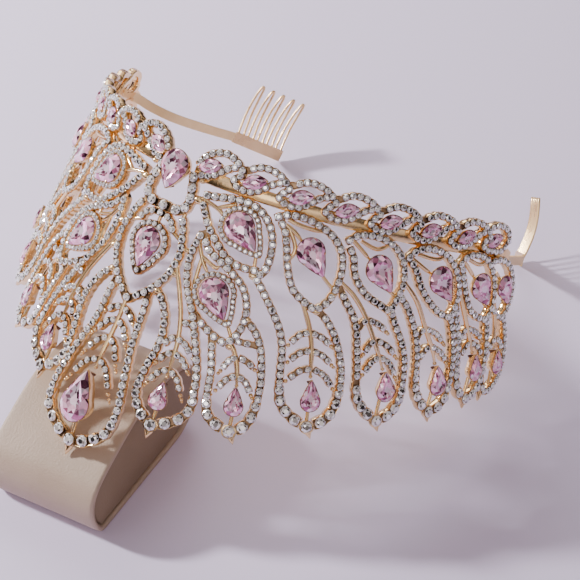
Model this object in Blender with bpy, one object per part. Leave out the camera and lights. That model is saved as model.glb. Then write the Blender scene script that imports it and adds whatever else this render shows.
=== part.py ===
"""Princess crown with feather drops, leaning on a small leather display block.

The crown is drawn as a flat pattern in millimetres: s runs along the band from its front centre, h runs
down the crown from the band towards the feather tips. The pattern is filled as stepped relief, then
wrapped on a flared oval. Its right half is listed and mirrored. The finished crown is tipped back and
stands on its comb spines and on the block.
"""
import math

import bmesh
import bpy
import numpy as np
from mathutils import Vector
from mathutils.geometry import delaunay_2d_cdt

MM = 0.001
# Oval plan of the band and flare of the crown below it.
HALF_BREADTH = 77.0
HALF_LENGTH = 96.2
FLARE = math.radians(9.2)
# Pose: the crown is tipped back until its comb spines touch the floor.
PITCH = math.radians(32.5)
BAND_HEIGHT = 90.4
ORIGIN_Y = 26.97
# Relief levels, measured from the crown surface outwards.
RAIL_FRONT = 0.8
RAIL_BACK = -0.8
MARQUISE_FRONT = 1.7
BARB_WIDTH = 1.8
# Centre feather stands proud of the crown between these heights.
PROUD = 1.8
PROUD_FROM, PROUD_FULL, PROUD_KEEP, PROUD_END = 46.0, 66.0, 78.0, 90.0
PROUD_REACH = 10.25
# Plain strip behind the rope border, and the rope border itself.
BAND_WIDTH = 3.6
LOOPS = 8
LOOP_PITCH = 13.71
LOOP_FIRST = 12.7
LOOP_HALF = (7.0, 3.9)
LOOP_LAST_HALF = 4.6
LOOP_H = -3.9
LOOP_WIDTH = 2.1
LOOP_TILT = math.radians(-3.0)
LOOP_LAST_BACK = 2.8
MARQUISE_FIRST = 9.6
MARQUISE_H = -3.0
MARQUISE_SIZE = (6.8, 3.5)
MARQUISE_TILT = math.radians(-24.0)
MARQUISE_TABLE = 0.5
MARQUISE_RIM = (1.4, 1.0)
MARQUISE_LAST_BACK = 1.4
# Pear stones and their bezels.
STONE_GAP = 0.35
BEZEL_WALL = 0.8
HIGH_GIRDLE = 2.0
PEAR_SIDES = 12
TABLE_SCALE = 0.6
CROWN_RATIO = 0.3
PAVILION_RATIO = 0.62
# Fill of the flat pattern.
CURVE_STEP = 4.6
SIMPLIFY = 0.42
SMALLEST_HOLE = 4.5
WELD = 0.02
PINCH = 0.08
# Side arms and combs.
ARM_HEIGHT = 3.2
ARM_THICK = 1.1
COMB_TEETH = 5
COMB_SPINE = 4.2
COMB_WIRE = 1.0
COMB_THICK = 1.0
TOOTH_LEG = 1.1
TOOTH_LENGTH = 21.5
TOOTH_BOW = 1.5
TOOTH_FAN = 0.4
# Leather block.
BLOCK_YAW = math.radians(7.6)
BLOCK_CORNER = (14.2, -62.1)
BLOCK_WIDTH = 38.0
WRAP_THICK = 1.8
WRAP_LIP = 0.8
CORE_GAP = 0.3
BLOCK_SMOOTH = 40.0

# name, width, (s, h) points
RAILS = (
    ("collar", 3.0, ((5.3, 0.2), (6.4, 4.4), (7.2, 8.0), (6.2, 11.4), (3.0, 12.5), (-0.4, 12.2))),
    ("centre petal", 2.3, ((6.8, 13.6), (8.0, 15.6), (9.2, 19.2), (10.0, 23.6), (9.6, 27.6), (8.4, 31.6),
                           (5.7, 36.0), (2.7, 39.2), (-0.2, 42.0))),
    ("centre arch", 1.9, ((-0.4, 14.8), (2.6, 15.1), (4.8, 16.6), (5.8, 18.8))),
    ("second petal top", 2.3, ((10.4, 5.2), (13.8, 4.6), (19.4, 3.3), (24.6, 3.1), (29.2, 5.2), (32.4, 9.4),
                               (33.7, 14.6), (33.5, 19.8), (31.6, 22.0))),
    ("second petal side", 2.2, ((11.0, 7.0), (12.2, 9.2), (15.2, 13.2), (19.1, 16.9), (23.2, 20.0),
                                (27.4, 20.8), (32.0, 20.4))),
    ("third petal side", 2.2, ((13.9, 15.2), (13.2, 20.0), (13.1, 24.0), (14.2, 29.0), (16.2, 33.4),
                               (18.6, 37.0), (22.2, 39.8), (25.8, 41.8), (29.6, 43.0))),
    ("third petal top", 2.2, ((14.0, 14.6), (17.1, 19.0), (21.2, 21.2), (25.4, 23.3), (29.4, 26.3),
                              (31.8, 31.0), (32.3, 35.6), (31.6, 39.4), (29.8, 42.8))),
    ("fourth petal top", 2.2, ((31.6, 4.6), (34.6, 2.9), (38.6, 2.2), (43.4, 2.8), (48.8, 4.9), (52.4, 8.6),
                               (53.9, 13.4), (53.7, 19.0), (52.4, 23.4), (49.6, 26.6))),
    ("fourth petal side", 2.2, ((33.6, 4.8), (35.6, 7.4), (37.2, 11.4), (39.0, 16.6), (41.8, 22.0),
                                (45.2, 24.6), (49.6, 26.6))),
    ("fifth petal top", 2.2, ((53.0, 5.6), (56.2, 2.8), (61.0, 2.0), (66.4, 3.0), (70.6, 6.0), (72.8, 10.6),
                              (73.1, 15.4), (71.4, 22.0))),
    ("fifth petal side", 2.2, ((54.4, 6.6), (56.4, 9.6), (58.0, 14.0), (62.0, 18.4), (66.8, 20.6),
                               (71.4, 22.2))),
    ("sixth petal top", 2.2, ((72.4, 6.6), (75.6, 3.2), (80.4, 2.2), (86.0, 3.3), (90.4, 6.8), (93.2, 11.4),
                              (93.8, 16.0), (92.6, 21.4))),
    ("sixth petal side", 2.2, ((74.0, 6.6), (76.8, 9.6), (79.6, 13.8), (83.4, 17.4), (88.0, 20.4),
                               (92.6, 21.4))),
    ("seventh petal top", 2.2, ((91.6, 6.2), (94.2, 2.8), (98.6, 1.9), (103.0, 3.0), (106.8, 6.6),
                                (109.2, 11.6), (109.9, 16.6), (108.4, 21.0))),
    ("seventh petal side", 2.2, ((92.8, 5.6), (94.4, 9.0), (96.6, 13.4), (100.0, 18.4), (104.2, 20.6),
                                 (108.4, 21.2))),
    ("end petal top", 2.2, ((105.4, 3.4), (109.4, 2.6), (113.4, 3.6), (116.8, 6.6), (118.6, 11.0),
                            (118.6, 15.6), (116.6, 20.2))),
    ("end petal side", 2.2, ((109.6, 13.4), (110.8, 17.4), (113.4, 20.0), (116.6, 20.4))),
    # Feathers, outer outline on the side of the front centre, then on the side of the band's end.
    ("centre feather", 2.3, ((5.2, 36.6), (5.9, 41.0), (6.2, 47.0), (6.6, 52.0), (7.4, 57.0), (8.2, 61.5),
                             (8.9, 66.0), (9.7, 71.0), (9.8, 75.6))),
    ("centre feather tip", 3.2, ((9.8, 75.0), (8.8, 79.4), (6.2, 82.8), (3.2, 85.0), (-0.4, 86.2))),
    ("first feather inner", 2.3, ((8.4, 36.2), (10.4, 38.4), (12.3, 42.2), (13.2, 47.0), (12.9, 52.0),
                                  (12.1, 57.0), (11.7, 62.0))),
    ("first feather inner tip", 3.0, ((11.6, 61.4), (12.1, 66.0), (14.4, 69.6), (18.2, 72.2))),
    ("first feather outer", 2.3, ((17.6, 35.6), (19.8, 40.0), (21.8, 44.8), (23.8, 50.0), (25.3, 55.2),
                                  (26.0, 60.6))),
    ("first feather outer tip", 3.0, ((26.2, 60.0), (25.8, 65.2), (23.0, 69.2), (18.2, 72.2))),
    ("first feather link", 1.9, ((17.0, 41.4), (19.4, 41.2), (21.2, 42.2))),
    ("second feather link", 1.9, ((31.4, 41.2), (35.0, 41.0), (38.4, 40.6))),
    ("second feather inner", 2.2, ((25.4, 41.4), (26.8, 46.4), (28.2, 51.6), (28.9, 57.0), (29.3, 60.0))),
    ("second feather inner tip", 3.0, ((29.2, 59.4), (30.6, 63.6), (33.6, 65.8), (37.0, 66.6))),
    ("second feather outer", 2.2, ((31.8, 34.0), (36.0, 37.2), (38.6, 41.4), (40.1, 46.0), (41.2, 51.0),
                                   (41.7, 56.6))),
    ("second feather outer tip", 3.0, ((41.7, 56.0), (41.3, 61.0), (39.8, 64.6), (37.0, 66.8))),
    ("third feather inner", 2.2, ((31.4, 22.0), (34.8, 25.6), (38.6, 30.0), (41.8, 34.4), (43.9, 39.4),
                                  (45.0, 45.0), (46.0, 50.4))),
    ("third feather inner tip", 3.0, ((45.9, 49.8), (47.6, 54.8), (51.2, 58.0), (55.8, 59.8))),
    ("third feather outer", 2.2, ((50.2, 26.2), (53.6, 28.6), (57.0, 32.6), (59.6, 37.4), (61.4, 42.2),
                                  (62.3, 47.6))),
    ("third feather outer tip", 3.0, ((62.3, 47.0), (62.0, 52.6), (60.2, 56.8), (56.0, 60.0))),
    ("fourth feather inner", 2.2, ((54.0, 17.8), (57.4, 22.0), (60.6, 25.6), (62.8, 30.0), (64.4, 35.6),
                                   (65.9, 41.2), (66.8, 46.0))),
    ("fourth feather inner tip", 3.0, ((66.6, 45.2), (68.2, 49.4), (71.2, 52.4), (75.2, 54.6))),
    ("fourth feather outer", 2.2, ((71.4, 21.8), (74.2, 26.2), (77.2, 30.4), (79.4, 35.0), (80.6, 40.2),
                                   (81.0, 44.0))),
    ("fourth feather outer tip", 3.0, ((81.0, 43.4), (80.8, 48.4), (78.8, 52.2), (75.2, 54.8))),
    ("fifth feather inner", 2.2, ((73.2, 17.2), (76.8, 20.6), (79.6, 24.6), (82.0, 29.0), (83.8, 34.4),
                                  (84.8, 39.8))),
    ("fifth feather inner tip", 2.9, ((84.7, 39.2), (86.0, 44.2), (88.6, 47.8), (92.2, 50.4))),
    ("fifth feather outer", 2.2, ((92.4, 21.0), (95.0, 26.0), (96.8, 31.6), (97.8, 37.4), (97.9, 42.0))),
    ("fifth feather outer tip", 2.9, ((98.0, 41.4), (97.4, 45.8), (95.4, 48.8), (92.2, 50.6))),
    ("sixth feather inner", 2.2, ((93.6, 16.6), (95.6, 22.4), (97.8, 28.0), (99.2, 33.6), (100.0, 38.0))),
    ("sixth feather inner tip", 2.8, ((99.9, 37.4), (101.2, 41.6), (103.6, 44.6), (106.2, 46.0))),
    ("sixth feather outer", 2.2, ((108.4, 20.8), (110.2, 26.0), (111.4, 31.6), (111.7, 37.0))),
    ("sixth feather outer tip", 2.8, ((111.7, 36.4), (111.2, 40.8), (109.4, 44.2), (106.2, 46.2))),
    ("end feather inner", 2.2, ((111.4, 31.0), (111.6, 36.6), (112.2, 40.0), (113.9, 43.6))),
    ("end feather outer", 2.2, ((116.6, 20.0), (119.4, 25.0), (121.2, 31.0), (121.4, 36.6), (119.4, 41.2),
                                (116.0, 44.0), (113.6, 43.4))),
)
# (s, h) points of the plain strip behind the rope border
BAND = ((4.6, 0.2), (30.0, 0.0), (60.0, 0.0), (90.0, 0.2), (110.0, 0.5), (115.0, 2.0))
# s, h, reach and drop towards the front centre, reach and drop towards the end: barbs springing from a shaft
BARBS = (
    (0.0, 44.2, 4.6, 3.4, 4.6, 3.4), (0.0, 48.2, 5.0, 5.8, 5.0, 5.8), (0.0, 53.8, 4.9, 6.8, 4.9, 6.8),
    (0.0, 60.6, 6.0, 8.4, 6.0, 8.4), (17.0, 46.0, 2.9, 4.0, 5.2, 3.6), (17.8, 50.4, 3.6, 4.4, 4.8, 3.8),
    (18.1, 55.4, 4.4, 6.0, 4.8, 6.0), (33.6, 45.4, 3.2, 5.4, 5.2, 2.2), (34.9, 50.6, 4.2, 6.0, 4.8, 4.4),
    (50.2, 33.0, 5.0, 5.2, 6.6, 2.6), (51.9, 38.0, 5.6, 5.0, 6.4, 2.9), (53.4, 43.0, 6.2, 5.4, 6.9, 4.6),
    (65.2, 25.8, 2.4, 4.0, 6.6, 2.6), (69.2, 31.2, 2.8, 4.8, 7.2, 3.8), (71.6, 35.8, 3.9, 6.2, 6.4, 5.4),
    (84.4, 25.6, 2.6, 4.0, 7.6, 3.6), (87.6, 30.6, 3.2, 5.0, 7.4, 4.6), (100.6, 24.2, 2.4, 4.4, 7.6, 3.4),
    (103.2, 28.4, 3.0, 5.0, 6.8, 4.6), (115.2, 27.0, 3.0, 4.6, 4.4, 4.0),
)
# width, (s, h) points: shafts of the feathers and sprigs beside the stones
WIRES = (
    (1.3, ((0.0, 40.6), (0.0, 63.4))),
    (1.3, ((9.6, 25.0), (11.2, 28.6), (13.6, 33.6), (16.2, 40.2), (17.7, 47.6), (18.1, 57.6))),
    (1.3, ((29.4, 41.4), (32.0, 43.8), (34.2, 48.4), (35.5, 53.4))),
    (1.3, ((45.8, 25.4), (49.2, 31.2), (51.6, 37.4), (53.4, 45.4))),
    (1.3, ((54.4, 16.8), (59.4, 20.0), (64.4, 25.2), (69.6, 32.8), (73.4, 39.2))),
    (1.3, ((73.6, 13.0), (79.2, 18.0), (84.2, 25.2), (88.8, 31.8), (90.8, 35.6))),
    (1.3, ((93.8, 12.6), (98.2, 20.0), (102.2, 26.6), (105.3, 31.6))),
    (1.3, ((110.2, 15.4), (113.2, 22.0), (115.2, 30.0))),
    (1.1, ((10.7, 6.4), (15.4, 7.4), (19.0, 9.2))), (1.1, ((15.4, 7.4), (20.2, 4.6))),
    (1.1, ((12.0, 7.4), (15.8, 13.4))),
    (1.1, ((14.0, 18.0), (16.4, 22.4), (19.4, 26.0))), (1.1, ((15.6, 21.4), (20.6, 23.4), (21.6, 22.0))),
    (1.1, ((16.2, 22.4), (16.6, 31.0))),
    (1.1, ((34.0, 5.0), (38.0, 6.6), (41.2, 9.0))), (1.1, ((35.4, 4.0), (40.6, 4.6), (46.0, 4.6))),
    (1.1, ((36.4, 6.0), (39.6, 11.0), (39.0, 15.4))),
    (1.1, ((54.4, 4.2), (58.0, 6.6), (61.2, 8.8))), (1.1, ((57.2, 4.2), (62.4, 5.4), (66.4, 3.4))),
    (1.1, ((73.8, 5.6), (78.4, 7.8), (82.2, 9.4))), (1.1, ((76.0, 4.4), (82.4, 4.9), (86.0, 3.6))),
    (1.1, ((93.2, 4.0), (96.6, 6.8), (99.2, 9.0))), (1.1, ((94.8, 3.4), (99.8, 4.6), (103.4, 3.4))),
    (1.1, ((108.6, 6.6), (111.0, 8.6))),
)
# name, s, h, radius of the round end, its distance to the point, direction of the point in degrees
# (90 towards the feather tips), girdle level, halo width
PEARS = (
    ("top_drop", 0.0, 0.4, 4.4, 7.0, 90.0, 3.0, 0.0),
    ("centre_pear", 0.0, 23.7, 4.1, 7.9, 90.0, 1.5, 1.2),
    ("petal_two", 23.4, 10.2, 4.2, 8.0, 39.0, 1.5, 1.1),
    ("petal_three", 22.6, 30.2, 4.15, 8.1, 51.0, 1.5, 1.1),
    ("petal_four", 43.9, 10.8, 3.95, 7.9, 47.0, 1.5, 0.0),
    ("petal_five", 64.2, 10.8, 4.0, 7.9, 46.0, 1.5, 0.0),
    ("petal_six", 85.2, 10.6, 4.0, 7.8, 45.0, 1.5, 0.0),
    ("petal_seven", 101.8, 11.0, 3.9, 7.2, 48.0, 1.5, 0.0),
    ("petal_end", 113.0, 10.6, 3.3, 6.2, 58.0, 1.5, 0.0),
    ("feather_centre", 0.0, 75.2, 4.9, 10.6, -90.0, 3.6, 0.0),
    ("feather_one", 18.2, 64.6, 2.65, 5.6, -90.0, 2.2, 0.0),
    ("feather_two", 36.2, 59.2, 2.6, 5.5, -99.0, 2.2, 0.0),
    ("feather_three", 54.6, 52.2, 2.8, 6.1, -101.0, 2.2, 0.0),
    ("feather_four", 75.1, 45.3, 2.9, 5.7, -106.0, 2.2, 0.0),
    ("feather_five", 92.4, 41.8, 3.0, 6.0, -108.0, 2.2, 0.0),
    ("feather_six", 106.6, 37.2, 2.7, 5.5, -107.0, 2.2, 0.0),
    ("feather_end", 116.6, 35.4, 2.5, 5.2, -106.0, 2.2, 0.0),
)
# s, h, half width, length and direction in degrees of the pointed nub at each feather tip
NUBS = (
    (0.0, 86.4, 1.7, 4.0, 90.0), (18.2, 72.6, 1.5, 3.4, 92.0), (37.2, 66.8, 1.5, 3.2, 62.0),
    (56.0, 60.0, 1.5, 3.2, 58.0), (75.2, 54.8, 1.5, 3.0, 62.0), (92.2, 50.6, 1.4, 2.8, 70.0),
    (106.2, 46.2, 1.3, 2.6, 84.0), (113.9, 43.6, 1.3, 3.0, 100.0),
)
# width, (s, h) points of the stays that carry the pear bezels
STAYS = (
    (1.6, ((0.0, 79.6), (0.0, 86.0))), (1.5, ((18.2, 66.4), (18.2, 72.0))),
    (1.5, ((36.6, 61.0), (37.0, 66.4))), (1.5, ((55.2, 54.2), (56.0, 59.8))),
    (1.5, ((75.2, 47.4), (75.2, 54.4))), (1.5, ((92.6, 44.0), (92.2, 50.2))),
    (1.5, ((106.8, 39.4), (106.2, 45.8))), (1.5, ((117.4, 37.4), (117.6, 42.4))),
    (1.5, ((29.8, 15.8), (30.6, 20.2))), (1.5, ((27.6, 36.4), (30.4, 40.8))),
    (1.5, ((0.0, 12.0), (0.0, 18.2))),
    (1.5, ((49.4, 16.8), (53.6, 20.0))), (1.5, ((69.6, 16.4), (72.8, 18.0))),
    (1.5, ((90.6, 16.0), (93.6, 18.0))), (1.5, ((106.6, 16.4), (109.6, 18.4))),
    (1.5, ((116.2, 15.6), (118.0, 17.0))), (1.5, ((4.6, 1.4), (6.6, 2.4))), (1.5, ((4.4, -2.4), (6.8, -3.5))),
    (2.2, ((7.6, 8.8), (10.8, 6.2))), (1.8, ((7.0, 11.6), (7.0, 13.8))), (1.8, ((10.0, 21.6), (13.0, 22.0))),
    (1.9, ((9.4, 28.6), (11.6, 30.0))), (2.0, ((7.2, 34.0), (8.6, 36.8))), (2.0, ((5.2, 36.6), (8.4, 36.6))),
    (1.8, ((5.6, 18.6), (9.4, 20.4))),
)
# (x, y, z) points of the right arm in the crown's own frame, from the band to the comb
ARM = ((74.0, 68.0, -0.6), (73.0, 74.0, -2.0), (71.0, 80.6, -4.2), (67.3, 90.4, -6.5), (64.0, 107.0, -8.8),
       (61.4, 122.2, -10.5))
SPINE = ((61.2, 123.0, -10.6), (51.2, 142.1, -14.2))
# (along, up) section of the block, from its foot near the feathers round the far end
BLOCK_SECTION = (
    (0.5, 0.0), (14.0, 0.0), (28.0, 0.0), (40.0, 0.0), (46.5, 1.7), (51.4, 5.8), (54.0, 11.8), (54.2, 18.0),
    (51.8, 23.2), (46.4, 27.0), (38.0, 29.2), (29.0, 29.4), (19.6, 27.6), (10.6, 24.3), (3.4, 21.2),
    (-1.4, 18.3), (-4.3, 14.4), (-5.2, 10.0), (-4.4, 5.0), (-2.4, 1.5),
)

# name: base colour, metallic, roughness
MATERIALS = {
    "pale_gold": ((0.86, 0.62, 0.36), 1.0, 0.2),
    "rose_crystal": ((0.82, 0.5, 0.62), 0.0, 0.05),
    "taupe_leather": ((0.33, 0.26, 0.21), 0.0, 0.6),
    "beige_leather": ((0.6, 0.52, 0.42), 0.0, 0.55),
}


def smooth_step(x):
    """Eased ramp from 0 to 1."""
    x = np.clip(x, 0.0, 1.0)
    return x * x * (3.0 - 2.0 * x)


def oval_table():
    """Arc length, x, y and outward normal along the right half of the plan oval."""
    t = np.linspace(0.0, math.pi * 0.9, 721)
    x, y = HALF_BREADTH * np.sin(t), HALF_LENGTH * (1.0 - np.cos(t))
    arc = np.concatenate([[0.0], np.cumsum(np.hypot(np.diff(x), np.diff(y)))])
    nx, ny = np.sin(t) * HALF_LENGTH, -np.cos(t) * HALF_BREADTH
    size = np.hypot(nx, ny)
    return arc, x, y, nx / size, ny / size


OVAL = oval_table()


def proud(s, h):
    """How far the centre feather stands off the crown surface."""
    rise = smooth_step((h - PROUD_FROM) / (PROUD_FULL - PROUD_FROM))
    fall = 1.0 - smooth_step((h - PROUD_KEEP) / (PROUD_END - PROUD_KEEP))
    reach = np.where(h > 68.0, PROUD_REACH + 2.0, PROUD_REACH)
    return PROUD * rise * fall * (np.abs(s) < reach)


def crown_point(s, h, level):
    """Point of the flat pattern on the flared oval, in the crown's own frame, millimetres."""
    s, h, level = np.broadcast_arrays(*(np.asarray(v, dtype=float) for v in (s, h, level)))
    level = level + proud(s, h)
    x, y, nx, ny = (np.interp(np.abs(s), OVAL[0], column) for column in OVAL[1:])
    out = math.sin(FLARE) * h + math.cos(FLARE) * level
    up = math.sin(FLARE) * level - math.cos(FLARE) * h
    return np.stack([np.sign(s) * (x + nx * out), y + ny * out, up], axis=-1)


def to_world(points):
    """Tips the crown back about its front and puts it over the floor; metres."""
    x, y, z = np.moveaxis(np.asarray(points, dtype=float), -1, 0)
    back = y * math.cos(PITCH) + z * math.sin(PITCH) - ORIGIN_Y
    up = z * math.cos(PITCH) - y * math.sin(PITCH) + BAND_HEIGHT
    return np.stack([x, back, up], axis=-1) * MM


def curve(points, step=CURVE_STEP):
    """Catmull-Rom curve through the points, sampled about every step."""
    p = np.array(points, dtype=float)
    if len(p) == 2:
        count = max(1, math.ceil(np.linalg.norm(p[1] - p[0]) / (2.0 * step)))
        return p[0] + (p[1] - p[0]) * np.linspace(0.0, 1.0, count + 1)[:, None]
    p = np.vstack([2 * p[0] - p[1], p, 2 * p[-1] - p[-2]])
    out = []
    for i in range(1, len(p) - 2):
        a, b, c, d = p[i - 1:i + 3]
        count = max(1, round(np.linalg.norm(c - b) / step))
        t = (np.arange(count) / count)[:, None]
        out.append(0.5 * (2 * b + (c - a) * t + (2 * a - 5 * b + 4 * c - d) * t ** 2
                          + (3 * b - 3 * c + d - a) * t ** 3))
    return np.vstack(out + [p[-2:-1]])


def strip(points, width, closed=False):
    """Quads of a strip of even width along a polyline."""
    p = np.asarray(points, dtype=float)
    ahead = np.roll(p, -1, axis=0) - p
    behind = p - np.roll(p, 1, axis=0)
    if not closed:
        ahead[-1], behind[0] = behind[-1], ahead[0]
    ahead /= np.linalg.norm(ahead, axis=1)[:, None]
    behind /= np.linalg.norm(behind, axis=1)[:, None]
    side = np.stack([-(ahead + behind)[:, 1], (ahead + behind)[:, 0]], axis=1)
    side /= np.linalg.norm(side, axis=1)[:, None]
    stretch = np.sum(side * np.stack([-ahead[:, 1], ahead[:, 0]], axis=1), axis=1)
    side *= (width / 2.0 / np.maximum(stretch, 0.7))[:, None]
    left, right = p + side, p - side
    last = len(p) if closed else len(p) - 1
    after = [(i + 1) % len(p) for i in range(last)]
    return [np.array([left[i], right[i], right[j], left[j]]) for i, j in enumerate(after)]


def mirrored(polygons):
    """The polygons with their mirror images across the front centre."""
    return list(polygons) + [q * np.array([-1.0, 1.0]) for q in polygons]


def oval_ring(centre, half, tilt=0.0, count=12):
    """Closed oval outline."""
    a = np.arange(count) * 2 * math.pi / count
    x, y = half[0] * np.cos(a), half[1] * np.sin(a)
    return np.stack([centre[0] + x * math.cos(tilt) - y * math.sin(tilt),
                     centre[1] + x * math.sin(tilt) + y * math.cos(tilt)], axis=1)


def marquise_outline(centre, size, tilt, count=4):
    """Pointed oval outline of two equal arcs."""
    t = np.linspace(-1.0, 1.0, 2 * count + 1)
    x = t * size[0] / 2.0
    y = (1.0 - t ** 2) * size[1] / 2.0
    x, y = np.concatenate([x, x[-2:0:-1]]), np.concatenate([y, -y[-2:0:-1]])
    return np.stack([centre[0] + x * math.cos(tilt) - y * math.sin(tilt),
                     centre[1] + x * math.sin(tilt) + y * math.cos(tilt)], axis=1)


def pear_outline(radius, point, grow=0.0, count=PEAR_SIDES):
    """Pear outline about the centre of its round end, its point on the +x side."""
    r, tip = radius + grow, point + grow * 1.5
    side = math.acos(r / tip) * 0.86
    round_count = count - 4
    a = side + np.arange(round_count) * (2 * math.pi - 2 * side) / (round_count - 1)
    arc = np.stack([r * np.cos(a), r * np.sin(a)], axis=1)
    end = np.array([tip, 0.0])
    upper = arc[0] + (end - arc[0]) * 0.52 + np.array([0.0, 0.07 * r])
    lower = upper * np.array([1.0, -1.0])
    shoulder = np.array([tip * 0.97, 0.06 * r])
    return np.vstack([arc, lower, shoulder * [1.0, -1.0], shoulder, upper])


def placed(outline, s, h, degrees):
    """Outline turned and moved to its place in the flat pattern."""
    a = math.radians(degrees)
    turn = np.array([[math.cos(a), math.sin(a)], [-math.sin(a), math.cos(a)]])
    return outline @ turn + np.array([s, h])


def outline_area(p):
    """Signed area of a closed outline."""
    q = np.roll(p, -1, axis=0)
    return 0.5 * float(np.sum(p[:, 0] * q[:, 1] - q[:, 0] * p[:, 1]))


def thinned(p, tolerance):
    """Douglas-Peucker thinning of a closed outline."""
    start = int(np.argmax(p[:, 0] + p[:, 1] * 0.37))
    p = np.roll(p, -start, axis=0)
    far = int(np.argmax(np.linalg.norm(p - p[0], axis=1)))
    keep = set()
    stack = [(0, far), (far, len(p))]
    ring = np.vstack([p, p[:1]])
    while stack:
        i, j = stack.pop()
        keep.update((i, j % len(p)))
        if j - i < 2:
            continue
        chord = ring[j] - ring[i]
        length = np.linalg.norm(chord)
        away = ring[i + 1:j] - ring[i]
        gap = np.abs(away[:, 0] * chord[1] - away[:, 1] * chord[0]) / max(length, 1e-9)
        k = int(np.argmax(gap))
        if gap[k] > tolerance or length > 9.0:
            k = k if gap[k] > tolerance else (j - i) // 2 - 1
            stack += [(i, i + 1 + k), (i + 1 + k, j)]
    return p[sorted(keep)]


def triangulated(outlines):
    """Points, triangles and triangle centres of the plane cut along the closed outlines."""
    points, edges = [], []
    for p in outlines:
        first = len(points)
        points += [Vector(v) for v in p]
        edges += [(first + i, first + (i + 1) % len(p)) for i in range(len(p))]
    flat, _, triangles, *_ = delaunay_2d_cdt(points, edges, [], 0, WELD)
    flat = np.array([tuple(v) for v in flat])
    triangles = [t if outline_area(flat[t]) > 0 else t[::-1] for t in map(list, triangles)]
    return flat, triangles, np.array([flat[t].mean(axis=0) for t in triangles])


def union_outlines(polygons, tolerance=SIMPLIFY):
    """Outlines of the union of many polygons, small holes filled."""
    flat, triangles, centres = triangulated(polygons)
    on = np.zeros(len(triangles), dtype=bool)
    for q in polygons:
        near = np.all((centres > q.min(axis=0)) & (centres < q.max(axis=0)), axis=1) & ~on
        on[near] = inside([q], centres[near])
    filled = [t for t, k in zip(triangles, on) if k]
    directed = set()
    for t in filled:
        directed.update(zip(t, t[1:] + t[:1]))
    border = [(a, b) for a, b in sorted(directed) if (b, a) not in directed]
    leaving = {}
    for a, b in border:
        leaving.setdefault(a, []).append(b)
    following = {}
    for a, b in border:
        back = bearing(flat[a] - flat[b])
        turns = [((back - bearing(flat[n] - flat[b])) % (2 * math.pi), n) for n in leaving[b]]
        following[(a, b)] = (b, min(turns)[1])
    loops = []
    while following:
        edge = min(following)
        ring = []
        while edge in following:
            ring.append(edge[0])
            edge = following.pop(edge)
        loop = flat[ring]
        for i, v in enumerate(ring):
            if len(leaving[v]) > 1:
                ahead, behind = loop[(i + 1) % len(ring)] - loop[i], loop[i - 1] - loop[i]
                loop[i] += (ahead / np.linalg.norm(ahead) + behind / np.linalg.norm(behind)) * PINCH
        loops.append(loop)
    loops = [q for q in loops if outline_area(q) > 0 or outline_area(q) < -SMALLEST_HOLE]
    return [q for q in (thinned(q, tolerance) for q in loops) if len(q) > 2]


def bearing(v):
    """Direction of a flat vector."""
    return math.atan2(v[1], v[0])


def inside(outlines, points):
    """Even-odd test of many points against closed outlines."""
    hit = np.zeros(len(points), dtype=bool)
    x, y = points[:, :1], points[:, 1:]
    for p in outlines:
        q = np.roll(p, -1, axis=0)
        rise = q[:, 1] - p[:, 1]
        across = (p[:, 1] > y) != (q[:, 1] > y)
        at = p[:, 0] + (y - p[:, 1]) * (q[:, 0] - p[:, 0]) / np.where(rise == 0.0, 1.0, rise)
        hit ^= (np.sum(across & (x < at), axis=1) % 2).astype(bool)
    return hit


def stepped_relief(layers, place, voids=(), peaks=()):
    """Closed mesh of stacked flat layers.

    Each layer is (outlines, front, back); a spot takes the highest front and the lowest back of the layers
    over it. Voids are outlines left open. Peaks are (outline, level) pairs that lift the front to a facet.
    """
    outlines = [q for layer in layers for q in layer[0]] + list(voids) + [q for q, _ in peaks]
    flat, triangles, centres = triangulated(outlines)
    front = np.full(len(triangles), -np.inf)
    back = np.full(len(triangles), np.inf)
    for outlines, top, bottom in layers:
        on = inside(outlines, centres)
        front[on] = np.maximum(front[on], top)
        back[on] = np.minimum(back[on], bottom)
    solid = front > back
    for p in voids:
        solid &= ~inside([p], centres)
    lifted = {}
    for outline, level in peaks:
        for v in outline:
            nearest = int(np.argmin(np.linalg.norm(flat - v, axis=1)))
            lifted[nearest] = level
    spans = {}
    for k, t in enumerate(triangles):
        if solid[k]:
            for i in range(3):
                spans[(t[i], t[(i + 1) % 3])] = (back[k], front[k])
    levels = {}
    for (a, b), span in spans.items():
        for v in (a, b):
            levels.setdefault(v, set()).update(span)
    mesh = bmesh.new()
    made = {}

    def corner(v, level):
        if (v, level) not in made:
            at = lifted.get(v, level) if level == max(levels[v]) else level
            made[(v, level)] = mesh.verts.new(place(flat[v], at))
        return made[(v, level)]

    for k, t in enumerate(triangles):
        if solid[k]:
            mesh.faces.new([corner(v, front[k]) for v in t])
            mesh.faces.new([corner(v, back[k]) for v in reversed(t)])
    for (a, b), (low, high) in spans.items():
        other = spans.get((b, a))
        parts = [(low, high)]
        if other:
            parts = [(low, min(high, other[0])), (max(low, other[1]), high)]
        for bottom, top in parts:
            if top - bottom > 1e-6:
                up = sorted(v for v in levels[b] if bottom <= v <= top)
                down = sorted((v for v in levels[a] if bottom <= v <= top), reverse=True)
                wall = [(a, bottom)] + [(b, v) for v in up] + [(a, v) for v in down[:-1]]
                mesh.faces.new([corner(*v) for v in wall])
    return mesh


def make_object(name, mesh, material, smooth=0.0):
    """Links the mesh as one object with its material."""
    bmesh.ops.triangulate(mesh, faces=[f for f in mesh.faces if len(f.verts) > 3])
    bmesh.ops.recalc_face_normals(mesh, faces=mesh.faces)
    data = bpy.data.meshes.new(name)
    mesh.to_mesh(data)
    mesh.free()
    data.materials.append(material)
    if smooth:
        data.shade_smooth()
        data.set_sharp_from_angle(angle=math.radians(smooth))
    thing = bpy.data.objects.new(name, data)
    bpy.context.scene.collection.objects.link(thing)
    return thing


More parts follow.
